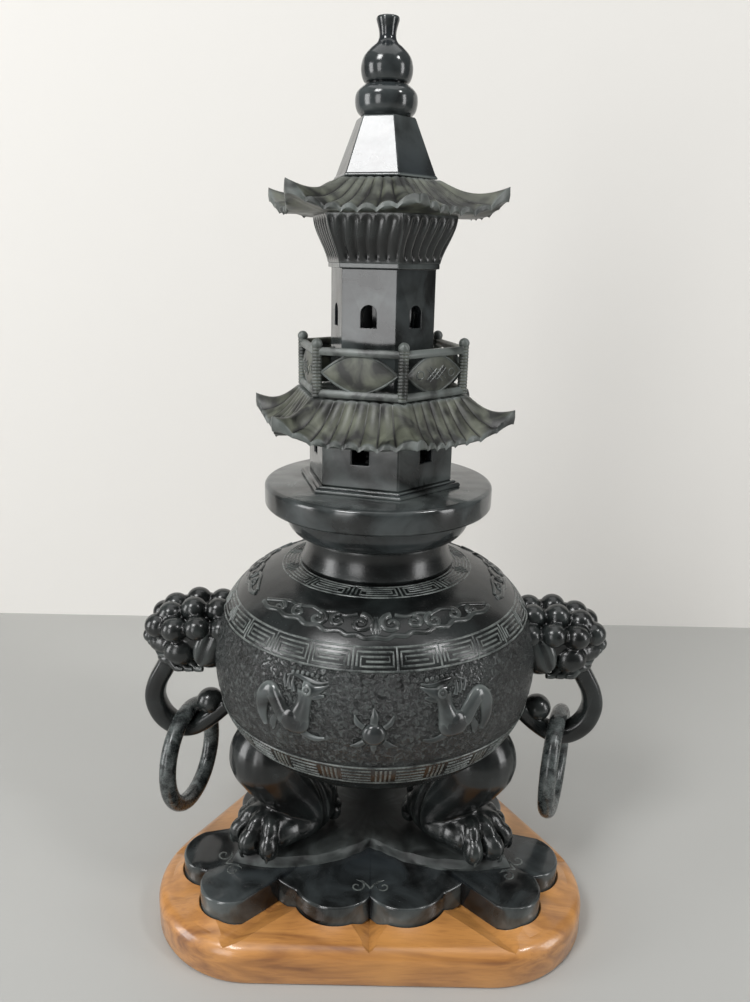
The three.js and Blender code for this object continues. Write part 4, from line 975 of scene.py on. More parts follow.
class BURNER_OT_reliefs(bpy.types.Operator):
    """Long-necked birds round a flaming pearl, and cloud scrolls on the shoulder"""

    bl_idname = "burner.reliefs"
    bl_label = "Reliefs"

    def execute(self, context):
        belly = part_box("bowl")[1].x
        for view, middle in (("front", FRONT), ("back", -FRONT)):
            for hand, side in (("left", -1), ("right", 1)):
                bird = self.bird(side)
                bird.name = "bird_" + view + "_" + hand
                onto_bowl(bird, middle, belly, squeeze=0.5, sink=0.3 * MM)
                face_outwards(bird)
                settle(bird, "waxed_black_soapstone", "burner", "carved_stone", smooth=60)
            pearl = self.pearl()
            pearl.name = "pearl_" + view
            onto_bowl(pearl, middle, belly, squeeze=0.6, sink=0.2 * MM)
            settle(pearl, "waxed_black_soapstone", "burner", "carved_stone", smooth=60)
        shoulder = [self.clouds(FRONT + turn * THIRD) for turn in range(3)]
        settle(joined("cloud_scrolls", shoulder), "carved_soapstone", "burner", "carved_stone", smooth=60)
        return {"FINISHED"}

    def strokes(self, side, lines):
        """Tapering strokes from lists of (x, y, radius), all in millimetres."""
        paths, widths = [], []
        for line in lines:
            smooth = curved([(side * x * MM, y * MM, r * MM) for x, y, r in line], 6)
            paths.append([(p.x, p.y, 0) for p in smooth])
            widths.append([max(p.z, 0.05 * MM) for p in smooth])
        return drawn("stroke", paths, 1.0, 4, widths)

    def bird(self, side):
        """One bird in millimetres from the middle of the belly, looking towards the pearl."""
        body = [(31.5, 16.5, 4.2), (32.0, 11.5, 3.6), (33.5, 6, 4.8), (35.5, 1.8, 6.0), (41.5, 2.6, 4.8)]
        tail = [(35.5, 1.8, 5.6), (41.5, 2.6, 4.8), (45.6, 8, 4.4), (50, 12.2, 4.5), (54, 8, 4.2)]
        tail += [(54.6, 1, 3.2), (52.6, -5.5, 1.4)]
        head = [(32.5, 16.6, 4.4), (29.8, 16.8, 4.2), (27, 17.4, 2.6), (23, 19.3, 1.0), (20.6, 20.8, 0.3)]
        jaw = [(29.5, 15.0, 2.4), (26, 14.9, 1.6), (22.6, 15.6, 0.5)]
        foot = [(34, -2.2, 2.4), (30, -4.4, 1.6), (25.5, -5.3, 1.4), (21.8, -4.3, 0.6)]
        wing, mane = [], []
        for i in range(3):
            feather = [(43 + 1.6 * i, 3.5 - 0.6 * i, 0.5), (46.5 + 1.2 * i, -0.5 - i, 1.1)]
            wing.append([*feather, (47.5 + 0.5 * i, -5.6 - 0.6 * i, 0.4)])
            plume = [(37.5 + 2.0 * i, 15 + 0.6 * i, 1.3), (38.6 + 2.2 * i, 18.4 + 0.4 * i, 0.9)]
            mane.append([*plume, (38.4 + 2.4 * i, 21.6 + 0.2 * i, 0.2)])
        crest = [(21, 22.0, 0.4), (26, 20.9, 0.9), (32, 21.6, 1.2), (38, 22.6, 0.8), (42, 21.4, 0.4)]
        parts = [self.strokes(side, [body, tail, head, jaw, foot, *wing, crest, *mane])]
        parts.append(ball((side * 36.5 * MM, 1.6 * MM, 0.6 * MM), (7.6 * MM, 6.4 * MM, 5.4 * MM)))
        # A string of beads lies over the crest.
        for bead in range(7):
            x, y = 24 + 2.5 * bead, 23.4 + 0.25 * bead * (6 - bead) / 3
            parts.append(ball((side * x * MM, y * MM, 1.0 * MM), 1.0 * MM, segments=10, rings=6))
        eye = (side * 30.2 * MM, 17.2 * MM, 4.3 * MM)
        parts.append(hoop(1.7 * MM, 0.6 * MM, 18, 6, eye))
        parts.append(ball(eye, 0.9 * MM, segments=12, rings=8))
        return joined("bird", parts)

    def pearl(self):
        parts = [ball((0, 0, 0), 5.2 * MM, segments=32, rings=20)]
        flames = [[(0, 5, 1.8), (0.3, 8.5, 1.7), (-0.2, 12.5, 0.2)]]
        for side in (-1, 1):
            flames.append([(side * 4.6, 3.2, 1.2), (side * 7.4, 5.6, 1.2), (side * 8.6, 9, 0.2)])
            flames.append([(side * 4.2, -3.6, 1.3), (side * 7, -5.6, 1.4), (side * 10.4, -6.4, 0.2)])
        flames.append([(0, -5, 1.4), (0, -7.6, 1.2), (0.4, -10, 0.2)])
        parts.append(self.strokes(1, flames))
        return joined("pearl", parts)

    def clouds(self, middle):
        """One group of cloud scrolls, in millimetres of climb from the widest place.

        A striped leaf stands between two curls, with ragged edges that run out sideways.
        """
        lines = []
        for lock in (-1, 0, 1):
            lines.append([(0.9 * lock, 44.5, 0.3), (1.6 * lock, 48.5, 1.1), (0.6 * lock, 53.5, 0.2)])
        mid = 56 * MM
        parts = [self.strokes(1, lines)]
        # Curls are (x, y, radius, width of the line), and an edge is (x, y).
        curls = [
            (6.2, 49.8, 4.2, 1.4),
            (15.5, 50.2, 3.0, 1.1),
            (24, 49.6, 3.4, 1.2),
            (34, 50.6, 2.8, 1.1),
            (44, 49.4, 2.6, 1.0),
        ]
        ragged = [(0, 43.2), (4, 42.6), (7, 44.0), (11, 43.6), (14, 45.2), (19, 44.4), (23, 46.0)]
        ragged += [(28, 45.4), (32, 47.2), (38, 46.2), (43, 47.6), (49, 46.4), (54, 47.6)]
        upper = [(8, 54.6), (13, 53.4), (18, 54.6), (24, 53.6), (29, 54.8)]
        upper += [(36, 53.4), (41, 54.0), (48, 51.6), (53, 49.4)]
        for side in (-1, 1):
            paths, widths = [], []
            for i, (x, y, radius, width) in enumerate(curls):
                winding = -side if i % 2 else side
                centre = (side * x * MM, y * MM)
                line = spiral(centre, 1.1 * radius * MM, 1.25, math.pi / 2, direction=winding)
                paths.append(line)
                widths.append([1.3 * width * MM * (1 - 0.5 * j / (len(line) - 1)) for j in range(len(line))])
            parts.append(drawn("curls", paths, 1.0, 3, widths))
            for edge, radius in ((ragged, 1.3), (upper, 1.0)):
                parts.append(self.strokes(side, [[(x, y, radius) for x, y in edge]]))
        piece = joined("clouds", parts)
        onto_bowl(piece, middle, mid, squeeze=0.7)
        return piece


class BURNER_OT_rim(bpy.types.Operator):
    """Mouth rim on the neck"""

    bl_idname = "burner.rim"
    bl_label = "Mouth rim"

    def execute(self, context):
        low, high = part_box("mouth_rim")
        neck_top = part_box("bowl")[1].z
        bore, foot = 22 * MM, 38 * MM
        spigot = context.scene.burner_sizes.neck_bore - 0.3 * MM
        ease = 0.6 * MM
        outline = [(bore, low.z), (spigot, low.z), (spigot, neck_top), (foot - ease, neck_top)]
        outline.append((foot, neck_top + ease))
        flare_tall = high.z - neck_top - 2.2 * MM
        for step in range(1, 11):
            turn = step * math.pi / 20
            reach = foot + (high.x - foot) * math.sin(turn)
            outline.append((reach, neck_top + ease + flare_tall * (1 - math.cos(turn))))
        lip, bevel = 0.9 * MM, 0.3 * MM
        outline += [(high.x, high.z - lip), (high.x - bevel, high.z - bevel), (high.x - lip, high.z)]
        # The lid's spigot stands in this seat.
        seat, seat_floor = 33 * MM, high.z - 5 * MM
        outline += [(seat + 0.4 * MM, high.z), (seat, high.z - 0.4 * MM), (seat, seat_floor)]
        outline += [(bore, seat_floor), (bore, low.z)]
        piece = spun("neck_collar", outline, 144)
        settle(piece, "waxed_black_soapstone", "burner", "polished_stone", "mouth_rim")
        return {"FINISHED"}


# Handles


def mirrored(piece, name):
    """A copy on the other side of the middle plane, with its faces turned back out."""
    twin = copied(piece, name)
    twin.data.transform(Matrix.Diagonal((-1, 1, 1, 1)))
    twin.data.flip_normals()
    return twin


class BURNER_OT_heads(bpy.types.Operator):
    """Curly lions' heads on the sides of the bowl"""

    bl_idname = "burner.heads"
    bl_label = "Lions' heads"

    def execute(self, context):
        right = self.head()
        left = mirrored(right, "lion_left")
        settle(right, "carved_soapstone", "burner", "carved_stone", "lion_head_right", smooth=70)
        settle(left, "carved_soapstone", "burner", "carved_stone", "lion_head_left", smooth=70)
        return {"FINISHED"}

    def head(self):
        # A lump is (centre, radii) in millimetres.
        lumps = [
            ((90.5, 0, 143), (18.5, 15.5, 15)),
            ((103, 0, 137.5), (14.5, 13, 10.5)),
            ((110, 0, 137.5), (9, 9.6, 7)),
            ((104, 0, 128.4), (11, 9.5, 5.2)),
            ((108, 6, 145.4), (5.4, 5.6, 4)),
            ((108, -6, 145.4), (5.4, 5.6, 4)),
            ((100, 12.2, 136), (8.4, 6.2, 7.6)),
            ((100, -12.2, 136), (8.4, 6.2, 7.6)),
            ((86, 0, 134), (12, 14.5, 11)),
        ]
        lumps += [(spot, (6.7, 6.5, 6.3)) for spot in self.curls()]
        balls = [ball(Vector(centre) * MM, [r * MM for r in radii]) for centre, radii in lumps]
        body = clay("lion_right", balls, 0.75 * MM, 3)
        parts = [body]
        # The mouth is a deep slit between the muzzle and the jaw.
        points = places(body) / MM
        x, z = points[:, 0], points[:, 2]
        slit = 3.0 * np.exp(-(((z - 131.6 + 0.02 * (x - 110) ** 2) / 1.2) ** 2)) * smooth_step(98, 104, x)
        centre = np.array([100, 0, 135])
        points -= (points - centre) / np.linalg.norm(points - centre, axis=1)[:, None] * slit[:, None]
        move_points(body, points * MM)
        for side in (-1, 1):
            parts += self.face(side)
        return joined("lion_right", parts)

    def curls(self):
        """Centres of the curls in millimetres, row by row from the crown down."""
        crown = [(80.5, 6.4, 157), (93, 6.6, 157.6), (105, 6, 154.4)]
        brow = [(78, 14, 149.6), (90, 15.6, 150.8), (102, 14.6, 149.6), (111.6, 8.6, 149)]
        return [(x, side * y, z) for x, y, z in crown + brow for side in (-1, 1)]

    def face(self, side):
        """Eye, nostril, lip, beard and the drooping ear of one side, in millimetres."""
        eye = Vector((111.4, side * 6.4, 143.4))
        parts = [ball(eye * MM, (2.6 * MM, 2.9 * MM, 2.7 * MM), segments=20, rings=12)]
        lid = (eye + Vector((0.8, side * 0.5, 0))) * MM
        parts.append(hoop(2.9 * MM, 0.6 * MM, 24, 8, lid, (0, math.radians(80), side * 0.5)))
        nostril = Vector((115.8, side * 3.1, 137.4)) * MM
        parts.append(ball(nostril, (3.2 * MM, 2.9 * MM, 2.5 * MM), segments=16, rings=10))
        if side > 0:
            nose = Vector((117.4, 0, 139.6)) * MM
            parts.append(ball(nose, (4.4 * MM, 4.6 * MM, 4.2 * MM), segments=24, rings=16))
        lip = [(114.6, 3.0, 133.8), (111, 8.6, 132.6), (104, 12.8, 134.4), (97.5, 14.6, 137)]
        lip = curved([(x, side * y, z) for x, y, z in lip], 5)
        parts.append(drawn("lip", [[spot * MM for spot in lip]], 1.3 * MM, 3))
        lock = [(0, 9.5, 128.6), (-2.6, 11.4, 126.4), (-6.4, 12.6, 126.6)]
        locks = [[(start + x, side * y, z) for x, y, z in lock] for start in (105, 100, 95)]
        paths = [[spot * MM for spot in curved(lock, 4)] for lock in locks]
        thin = [[1 - 0.4 * i / (len(path) - 1) for i in range(len(path))] for path in paths]
        parts.append(drawn("beard", paths, 2.3 * MM, 3, thin))
        # The ear droops backwards, with a groove along its outer face.
        ear_reach, ear_height = 17.0, 141.5
        spot = Vector((84, side * ear_reach, ear_height)) * MM
        ear = ball(spot, (7.4 * MM, 3.6 * MM, 11.2 * MM), (side * 0.1, math.radians(-24), 0))
        points = places(ear) / MM
        lean = (points[:, 0] - 85.5) + 0.42 * (points[:, 2] - ear_height)
        groove = 1.6 * np.exp(-((lean / 1.2) ** 2)) * smooth_step(131, 136, points[:, 2])
        points[:, 1] -= side * groove * (side * points[:, 1] > ear_reach)
        move_points(ear, points * MM)
        parts.append(ear)
        return parts


class BURNER_OT_straps(bpy.types.Operator):
    """Straps that curl from the lions' mouths and end in a ball"""

    bl_idname = "burner.straps"
    bl_label = "Straps"

    def execute(self, context):
        # Places along the strap as (x, z, half thickness) in millimetres, seen from the front.
        down = [(106.5, 131, 4.8), (110.4, 122.5, 5.2), (115.4, 113, 5.2), (117.3, 104, 5.4)]
        under = [(115, 95.4, 5.6), (110.2, 89.4, 5.5), (103.4, 86, 5.0), (95.4, 87.4, 4.9)]
        up = [(86.4, 93.6, 4.8), (77.8, 101.5, 4.5)]
        line = curved(down + under + up, 5)
        half_width = 5.9
        rings, sides = [], 16
        for i, here in enumerate(line):
            ahead = line[min(i + 1, len(line) - 1)] - line[max(i - 1, 0)]
            along = Vector((ahead.x, 0, ahead.y)).normalized()
            # Out is the strap's convex side, where its ridge runs.
            out = Vector((0, 1, 0)).cross(along)
            for side in range(sides):
                # A band with flat flanks and a ridge along its back.
                turn = side * math.tau / sides
                cosine, sine = math.cos(turn), math.sin(turn)
                across = here.z * math.copysign(abs(cosine) ** 0.7, cosine)
                width = half_width * math.copysign(abs(sine) ** 0.62, sine)
                spot = Vector((here.x, 0, here.y)) + out * across + Vector((0, width, 0))
                rings.append(spot * MM)
        mesh = bpy.data.meshes.new("strap_right")
        faces = []
        for i in range(len(line) - 1):
            for side in range(sides):
                a, b = i * sides + side, i * sides + (side + 1) % sides
                faces.append((a, b, b + sides, a + sides))
        faces.append(tuple(range(sides)))
        faces.append(tuple(len(rings) - 1 - i for i in range(sides)))
        mesh.from_pydata([tuple(p) for p in rings], [], faces)
        strap = bpy.data.objects.new("strap_right", mesh)
        context.scene.collection.objects.link(strap)
        face_outwards(strap)
        modify(strap, "SUBSURF", levels=2, render_levels=2)
        knob = ball(Vector((87.9, 0, 101.4)) * MM, (7.3 * MM, 7.3 * MM, 7.1 * MM), segments=32, rings=20)
        right = joined("strap_right", [strap, knob])
        left = mirrored(right, "strap_left")
        settle(right, "carved_soapstone", "burner", "carved_stone", "tongue_loop_right", smooth=50)
        settle(left, "carved_soapstone", "burner", "carved_stone", "tongue_loop_left", smooth=50)
        return {"FINISHED"}


class BURNER_OT_rings(bpy.types.Operator):
    """Loose rings, worn a little uneven"""

    bl_idname = "burner.rings"
    bl_label = "Rings"

    def execute(self, context):
        size = context.scene.burner_sizes
        for hand in ("right", "left"):
            node = "ring_" + hand
            low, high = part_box(node)
            centre = (low + high) / 2
            hoop(size.ring, size.ring_tube, 96, 24, centre, (0, math.pi / 2, RING_TURNS[hand]))
            piece = named("loose_" + node)
            points = places(piece)
            centre = np.array(centre)
            wear = 0.006
            for i, point in enumerate(points):
                worn = 1 - wear * (1 + noise.noise(Vector(point) * per(16)))
                points[i] = centre + (point - centre) * worn
            move_points(piece, points)
            settle(piece, "veined_soapstone", node, "ring_stone", node, smooth=60)
        return {"FINISHED"}


# Pagoda


def hex_rows(rows, steps, name, shape):
    """Spin rows round the axis and let shape(angle, row) say each point's reach and height.

    A row is True where it lies on the axis.
    """
    piece = spun(name, [(0 if centre else 1 + i, i) for i, centre in enumerate(rows)], steps)
    angle, row = rows_of(piece)
    reach, height = shape(angle, row)
    reach = np.where(np.array(rows)[row], 0, reach)
    move_points(piece, around(angle, reach, height))
    face_outwards(piece)
    return piece


def corner_reach(node):
    """From the axis to a corner of a hexagonal node, whose box is as deep as two opposite corners."""
    low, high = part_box(node)
    return (high.y - low.y) / 2 / math.cos(HEX_OFF_Y)


def hex_place(angle):
    """Where a direction meets a hexagon with an inradius of 1.

    Nearness to a corner from 0 to 1, reach, and place along the side from -1 to 1.
    """
    corner = 1 - side_share(angle, HEX_TURN, SIXTH)
    along = np.tan(np.mod(angle - HEX_TURN, SIXTH) - SIXTH / 2) / math.tan(SIXTH / 2)
    return corner, 1 / np.cos(corner * SIXTH / 2), along


class BURNER_OT_lid_base(bpy.types.Operator):
    """Lid disc and the hexagonal moulding on it"""

    bl_idname = "burner.lid_base"
    bl_label = "Lid disc and base"

    def execute(self, context):
        low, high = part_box("lid_disc")
        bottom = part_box("mouth_rim")[1].z
        vent, seat, edge = 12 * MM, 32.7 * MM, 2.2 * MM
        outline = [(vent, low.z), (seat - 0.5 * MM, low.z), (seat, low.z + 0.5 * MM), (seat, bottom)]
        outline.append((high.x - edge, bottom))
        for step in range(1, 6):
            turn = step * math.pi / 10
            outline.append((high.x - edge * (1 - math.sin(turn)), bottom + edge * (1 - math.cos(turn))))
        for step in range(6):
            turn = step * math.pi / 10
            outline.append((high.x - edge * (1 - math.cos(turn)), high.z - edge * (1 - math.sin(turn))))
        outline += [(vent, high.z), (vent, low.z)]
        settle(spun("lid_plate", outline, 144), "waxed_black_soapstone", "lid", "polished_stone", "lid_disc")
        base_low, base_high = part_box("storey_base")
        reach = corner_reach("storey_base")
        flue, peg = 10 * MM, 11.7 * MM
        tall = base_high.z - high.z
        shape = [
            (flue, base_low.z),
            (peg, base_low.z),
            (peg, high.z),
            (reach - 0.5 * MM, high.z),
            (reach, high.z + 0.4 * MM),
            (reach, high.z + 0.45 * tall),
            (reach - 0.9 * MM, high.z + 0.68 * tall),
            (reach - 2.2 * MM, high.z + 0.72 * tall),
            (reach - 2.5 * MM, base_high.z - 0.2 * MM),
            (reach - 2.9 * MM, base_high.z),
            (flue, base_high.z),
            (flue, base_low.z),
        ]
        piece = spun("storey_moulding", shape, 6, HEX_TURN)
        bevelled(piece, 0.3 * MM, 2, 25)
        crisp(settle(piece, "waxed_black_soapstone", "lid", "polished_stone", "storey_base", smooth=40))
        return {"FINISHED"}


class BURNER_OT_storeys(bpy.types.Operator):
    """Hollow hexagonal storeys with a window in each side"""

    bl_idname = "burner.storeys"
    bl_label = "Storeys"

    def execute(self, context):
        size = context.scene.burner_sizes
        self.storey("lower_walls", "lower_storey", size.storey_wall, (8 * MM, 7.6 * MM, 11.5 * MM), False)
        self.storey("upper_walls", "upper_storey", size.storey_wall, (7.4 * MM, 10 * MM, 30 * MM), True)
        return {"FINISHED"}

    def storey(self, name, node, wall, window, arched):
        """One storey. A window is (width, height, sill over the foot)."""
        low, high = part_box(node)
        reach = corner_reach(node)
        # The upper storey has a moulding under its roof.
        moulding = 1.6 * MM if arched else 0
        body = reach - moulding
        inner = body - wall / HEX_INRADIUS
        outline = [(inner, low.z), (body, low.z)]
        if arched:
            cap = high.z - 2.4 * MM
            outline += [(body, cap), (reach, cap + 0.3 * MM), (reach, high.z)]
        else:
            outline.append((body, high.z))
        outline += [(inner, high.z), (inner, low.z)]
        piece = spun(name, outline, 6, HEX_TURN)
        wide, tall, sill = window
        for side in range(6):
            turn = HEX_TURN + (side + 0.5) * SIXTH
            only()
            bpy.ops.mesh.primitive_cube_add(size=1)
            cut = named("window")
            tools = [cut]
            if arched:
                across = (0, math.pi / 2, 0)
                bpy.ops.mesh.primitive_cylinder_add(vertices=32, radius=0.5, depth=1, rotation=across)
                arch = bpy.context.object
                apply_place(arch)
                arch.data.transform(Matrix.Diagonal((reach, wide, wide, 1)))
                arch.data.transform(Matrix.Translation((reach, 0, low.z + sill + tall - wide / 2)))
                tools.append(arch)
                box_tall = tall - wide / 2
            else:
                box_tall = tall
            cut.data.transform(Matrix.Diagonal((reach, wide, box_tall, 1)))
            cut.data.transform(Matrix.Translation((reach, 0, low.z + sill + box_tall / 2)))
            for tool in tools:
                tool.data.transform(Matrix.Rotation(turn, 4, "Z"))
                modify(piece, "BOOLEAN", object=tool, operation="DIFFERENCE", solver="EXACT")
                bpy.data.objects.remove(tool)
        face_outwards(piece)
        bevelled(piece, 0.7 * MM, 3, 40)
        crisp(settle(piece, "waxed_black_soapstone", "lid", "polished_stone", node, smooth=40))


class BURNER_OT_roofs(bpy.types.Operator):
    """Tiled roofs with scalloped eaves and turned-up corners"""

    bl_idname = "burner.roofs"
    bl_label = "Roofs"

    def execute(self, context):
        size = context.scene.burner_sizes
        flue = 10 * MM
        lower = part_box("lower_roof")
        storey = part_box("lower_storey")[1].z
        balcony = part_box("balcony_railing")[0].z
        self.roof(
            "lower_tiles",
            "lower_roof",
            storey,
            balcony - storey,
            size.tile_ribs,
            top_reach=42 * MM,
            under_reach=38.4 * MM,
            eave_reach=51 * MM,
            tip_reach=65.5 * MM,
            tip_rise=15 * MM,
        )
        bottom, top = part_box("roof_bracket")[1].z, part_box("upper_roof")[1].z
        self.roof(
            "upper_tiles",
            "upper_roof",
            bottom,
            top - bottom,
            size.tile_ribs - 1,
            top_reach=25.3 * MM,
            under_reach=34.4 * MM,
            eave_reach=45 * MM,
            tip_reach=57 * MM,
            tip_rise=14 * MM,
        )
        # Collars under and over the lower roof, round the flue.
        collars = ((26 * MM, lower[0].z, storey + MM), (17 * MM, balcony - MM, lower[1].z))
        parts = [
            spun("collar", [(flue, foot), (wide, foot), (wide, top), (flue, top), (flue, foot)], 48)
            for wide, foot, top in collars
        ]
        settle(joined("roof_collars", parts), "tile_soapstone", "lid", "roof_stone")
        return {"FINISHED"}

    def roof(self, name, node, bottom, tall, ribs, top_reach, under_reach, eave_reach, tip_reach, tip_rise):
        """Rows run along the underside, round the eave and back up the tiles."""
        eave, sag = 2.4 * MM, 2.0 * MM
        under = 6
        upper = 26
        count = under + 3 + upper + 1
        steps = 6 * ribs * FOLD_STEPS

        def shape(angle, row):
            row = np.clip(row - 1, 0, count - 1)
            corner, flat, across = hex_place(angle)
            horn = corner ** 2.2
            reach_eave = eave_reach * flat + (tip_reach - eave_reach / HEX_INRADIUS) * horn
            # The horn that looks at the camera is carved lower than the others.
            rise = tip_rise - 6.5 * MM * np.exp(-(((angle - HEX_TURN) / 0.45) ** 2))
            top_eave = eave + (rise - eave) * corner ** 4
            # Tiles lean a little to one side, as in folded cloth.
            share = np.clip((count - 1 - row) / upper, 0, 1)
            phase = (across + 1) / 2 * ribs + 0.35 * share * (1 - corner)
            fold = (np.sin(math.pi * phase) ** 2 + 0.015) ** 0.32
            relief = (1.3 + 1.3 * share) * MM * (fold - 0.8) * smooth_step(-0.02, 0.1, share)
            dip = sag * (1 + corner) * np.sin(math.pi * share)
            surface = tall + (top_eave - tall) * share ** 1.15 - dip + relief
            reach = (top_reach * HEX_INRADIUS * flat) * (1 - share) + reach_eave * share
            scallop = 1.1 * MM * (fold - 0.6)
            lip = row == under + 1
            edge = row == under + 2
            below = row <= under
            under_share = np.clip(row / under, 0, 1)
            under_at = under_reach * HEX_INRADIUS * flat
            low_reach = under_at + (reach_eave - MM - under_at) * under_share
            # The horns end bluntly, so their undersides rise less.
            low_eave = (top_eave - eave) * (1 - 0.45 * corner ** 4)
            low_height = low_eave * under_share ** 1.3
            # The scallops of the eave fade out up the tiles.
            frill = np.where(share > 0.9, scallop * smooth_step(0.9, 1, share), 0)
            reach = np.where(below, low_reach, reach + frill)
            height = np.where(below, low_height, surface)
            reach = np.where(edge, reach_eave + 0.2 * MM + scallop, reach)
            reach = np.where(lip, reach_eave - 0.2 * MM + scallop, reach)
            height = np.where(lip, low_eave + eave * 0.2 + relief * 0.5, height)
            height = np.where(edge, 0.35 * low_eave + 0.65 * top_eave - eave * 0.35 + relief, height)
            return reach, bottom + height

        on_axis = [True] + [False] * (count - 1) + [True]
        piece = hex_rows(on_axis, steps, name, shape)
        settle(piece, "tile_soapstone", "lid", "roof_stone", node, smooth=45)


class BURNER_OT_railing(bpy.types.Operator):
    """Balcony railing: beaded posts, rails and lens-shaped panels"""

    bl_idname = "burner.railing"
    bl_label = "Railing"

    def execute(self, context):
        low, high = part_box("balcony_railing")
        reach = 39.7 * MM
        rail, bottom, top = 3.4 * MM, low.z, low.z + context.scene.burner_sizes.railing
        parts = [self.rail(reach, foot, rail) for foot in (bottom, top - rail)]
        post = self.post(bottom, top, high.z)
        middle, flat = (bottom + top) / 2, reach * HEX_INRADIUS
        # Half the width, height and thickness of a panel.
        lens = (17.6 * MM, (top - bottom) / 2 - 2.4 * MM, 1.6 * MM)
        panel = self.panel(lens, flat, middle)
        strokes = []
        for side in range(6):
            corner = HEX_TURN + side * SIXTH
            twin = copied(post, "post")
            twin.data.transform(Matrix.Rotation(corner, 4, "Z") @ Matrix.Translation((reach, 0, 0)))
            leaf = copied(panel, "panel")
            leaf.data.transform(Matrix.Rotation(corner + SIXTH / 2, 4, "Z"))
            parts += [twin, leaf]
            if side % 2 == 0:
                strokes += self.lattice(corner + SIXTH / 2, lens, flat, middle)
        bpy.data.objects.remove(post)
        bpy.data.objects.remove(panel)
        rails = joined("balcony_rails", parts)
        settle(rails, "tile_soapstone", "lid", "roof_stone", "balcony_railing", smooth=45)
        settle(drawn("railing_lattice", strokes, 0.28 * MM), "rubbed_soapstone", "lid", "roof_stone")
        return {"FINISHED"}

    def rail(self, reach, bottom, wide):
        """A rail as tall as it is wide."""
        inner, outer, ease = reach - wide / 2, reach + wide / 2, 0.8 * MM
        outline = [(inner, bottom), (outer, bottom), (outer + 0.3 * MM, bottom + wide * 0.5)]
        outline += [(outer - ease, bottom + wide), (inner + ease, bottom + wide)]
        outline += [(inner, bottom + wide - ease), (inner, bottom)]
        piece = spun("rail", outline, 6, HEX_TURN)
        bevelled(piece, 0.3 * MM, 2, 20)
        return piece

    def post(self, bottom, top, peak):
        """A beaded post with a ball on top."""
        outline = [(0, bottom)]
        beads = 15
        steps = 4 * beads
        for step in range(steps + 1):
            swell = 0.24 * MM * abs(math.sin(step * math.pi / 4))
            outline.append((2.1 * MM + swell, bottom + (top - bottom) * step / steps))
        radius = 2.5 * MM
        centre = peak - radius
        for step in range(4, 13):
            turn = step * math.pi / 12 - math.pi / 2
            outline.append((max(radius * math.cos(turn), 0), centre + radius * math.sin(turn)))
        return spun("post", outline, 20)

    def swelling(self, lens, across):
        """What is left of a panel's height and thickness, this far from its middle."""
        return 1 - min(abs(across) / lens[0], 1) ** 1.7

    def panel(self, lens, flat, middle):
        """A lens between two posts, swelling from a narrow rim."""
        half, tall, thick = lens
        face = ball((0, 0, 0), 1, (math.pi / 2, 0, 0), segments=40, rings=40)
        points = []
        for x, y, z in places(face):
            turn = math.atan2(z, x)
            share = self.swelling(lens, y * half)
            out = thick * math.cos(turn) * math.sqrt(share)
            points.append((flat + out, y * half, middle + tall * share * math.sin(turn)))
        move_points(face, points)
        rim = []
        for side in (1, -1):
            for across in np.linspace(-half, half, 25)[:-1]:
                rim.append((flat, side * across, middle + side * tall * self.swelling(lens, across)))
        piece = joined("panel", [face, drawn("rim", [rim + rim[:1]], 0.7 * MM, 2)])
        face_outwards(piece)
        return piece

    def lattice(self, turn, lens, flat, middle):
        """Lozenge lines and two loops on the face of a panel, in millimetres."""
        lines = []
        for shift in (-3.2, 0, 3.2):
            for lean in (-1, 1):
                half = 4.2 - abs(shift) * 0.4
                lines.append([(0, shift - half, -lean * half * 0.8), (0, shift + half, lean * half * 0.8)])
        for side in (-1, 1):
            turns = np.linspace(0, math.tau, 14)
            lines.append([(0, side * 10.2 + 2.2 * math.cos(t), 1.8 * math.sin(t)) for t in turns])
        spot = Matrix.Rotation(turn, 4, "Z")
        shown = []
        for line in lines:
            path = []
            for point in fine([Vector(p) * MM for p in line], MM):
                share = self.swelling(lens, point.y)
                out = lens[2] * math.sqrt(share * (1 - min(abs(point.z) / (lens[1] * share), 1) ** 2))
                path.append(spot @ Vector((flat + out, point.y, middle + point.z)))
            shown.append(path)
        return shown


class BURNER_OT_bracket(bpy.types.Operator):
    """Flared, fluted course under the upper roof"""

    bl_idname = "burner.bracket"
    bl_label = "Roof bracket"

    def execute(self, context):
        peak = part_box("roof_bracket")[1].z
        foot_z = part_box("upper_storey")[1].z
        foot, top = 26.8 * MM, corner_reach("roof_bracket")
        flutes, rows = 6, 36

        def shape(angle, row):
            share = np.clip((np.clip(row, 1, rows) - 1) / (rows - 2), 0, 1)
            corner, flat, across = hex_place(angle)
            phase = (across + 1) / 2 * flutes + 0.16 * np.sin(share * 5)
            fold = (np.sin(math.pi * phase) ** 2 + 0.02) ** 0.4
            # The flutes fade out at the foot, at the top and at the corners.
            depth = 1.3 * MM * smooth_step(0.02, 0.2, share) * smooth_step(1.0, 0.86, share)
            depth *= smooth_step(1, 0.93, corner)
            flare = foot + (top - foot) * smooth_step(-0.12, 0.98, share) - depth * (1 - fold)
            return flare * HEX_INRADIUS * flat, foot_z + (peak - foot_z) * share

        on_axis = [True] + [False] * rows + [True]
        piece = hex_rows(on_axis, 6 * flutes * FOLD_STEPS, "bracket_course", shape)
        settle(piece, "carved_soapstone", "lid", "carved_stone", "roof_bracket", smooth=45)
        return {"FINISHED"}


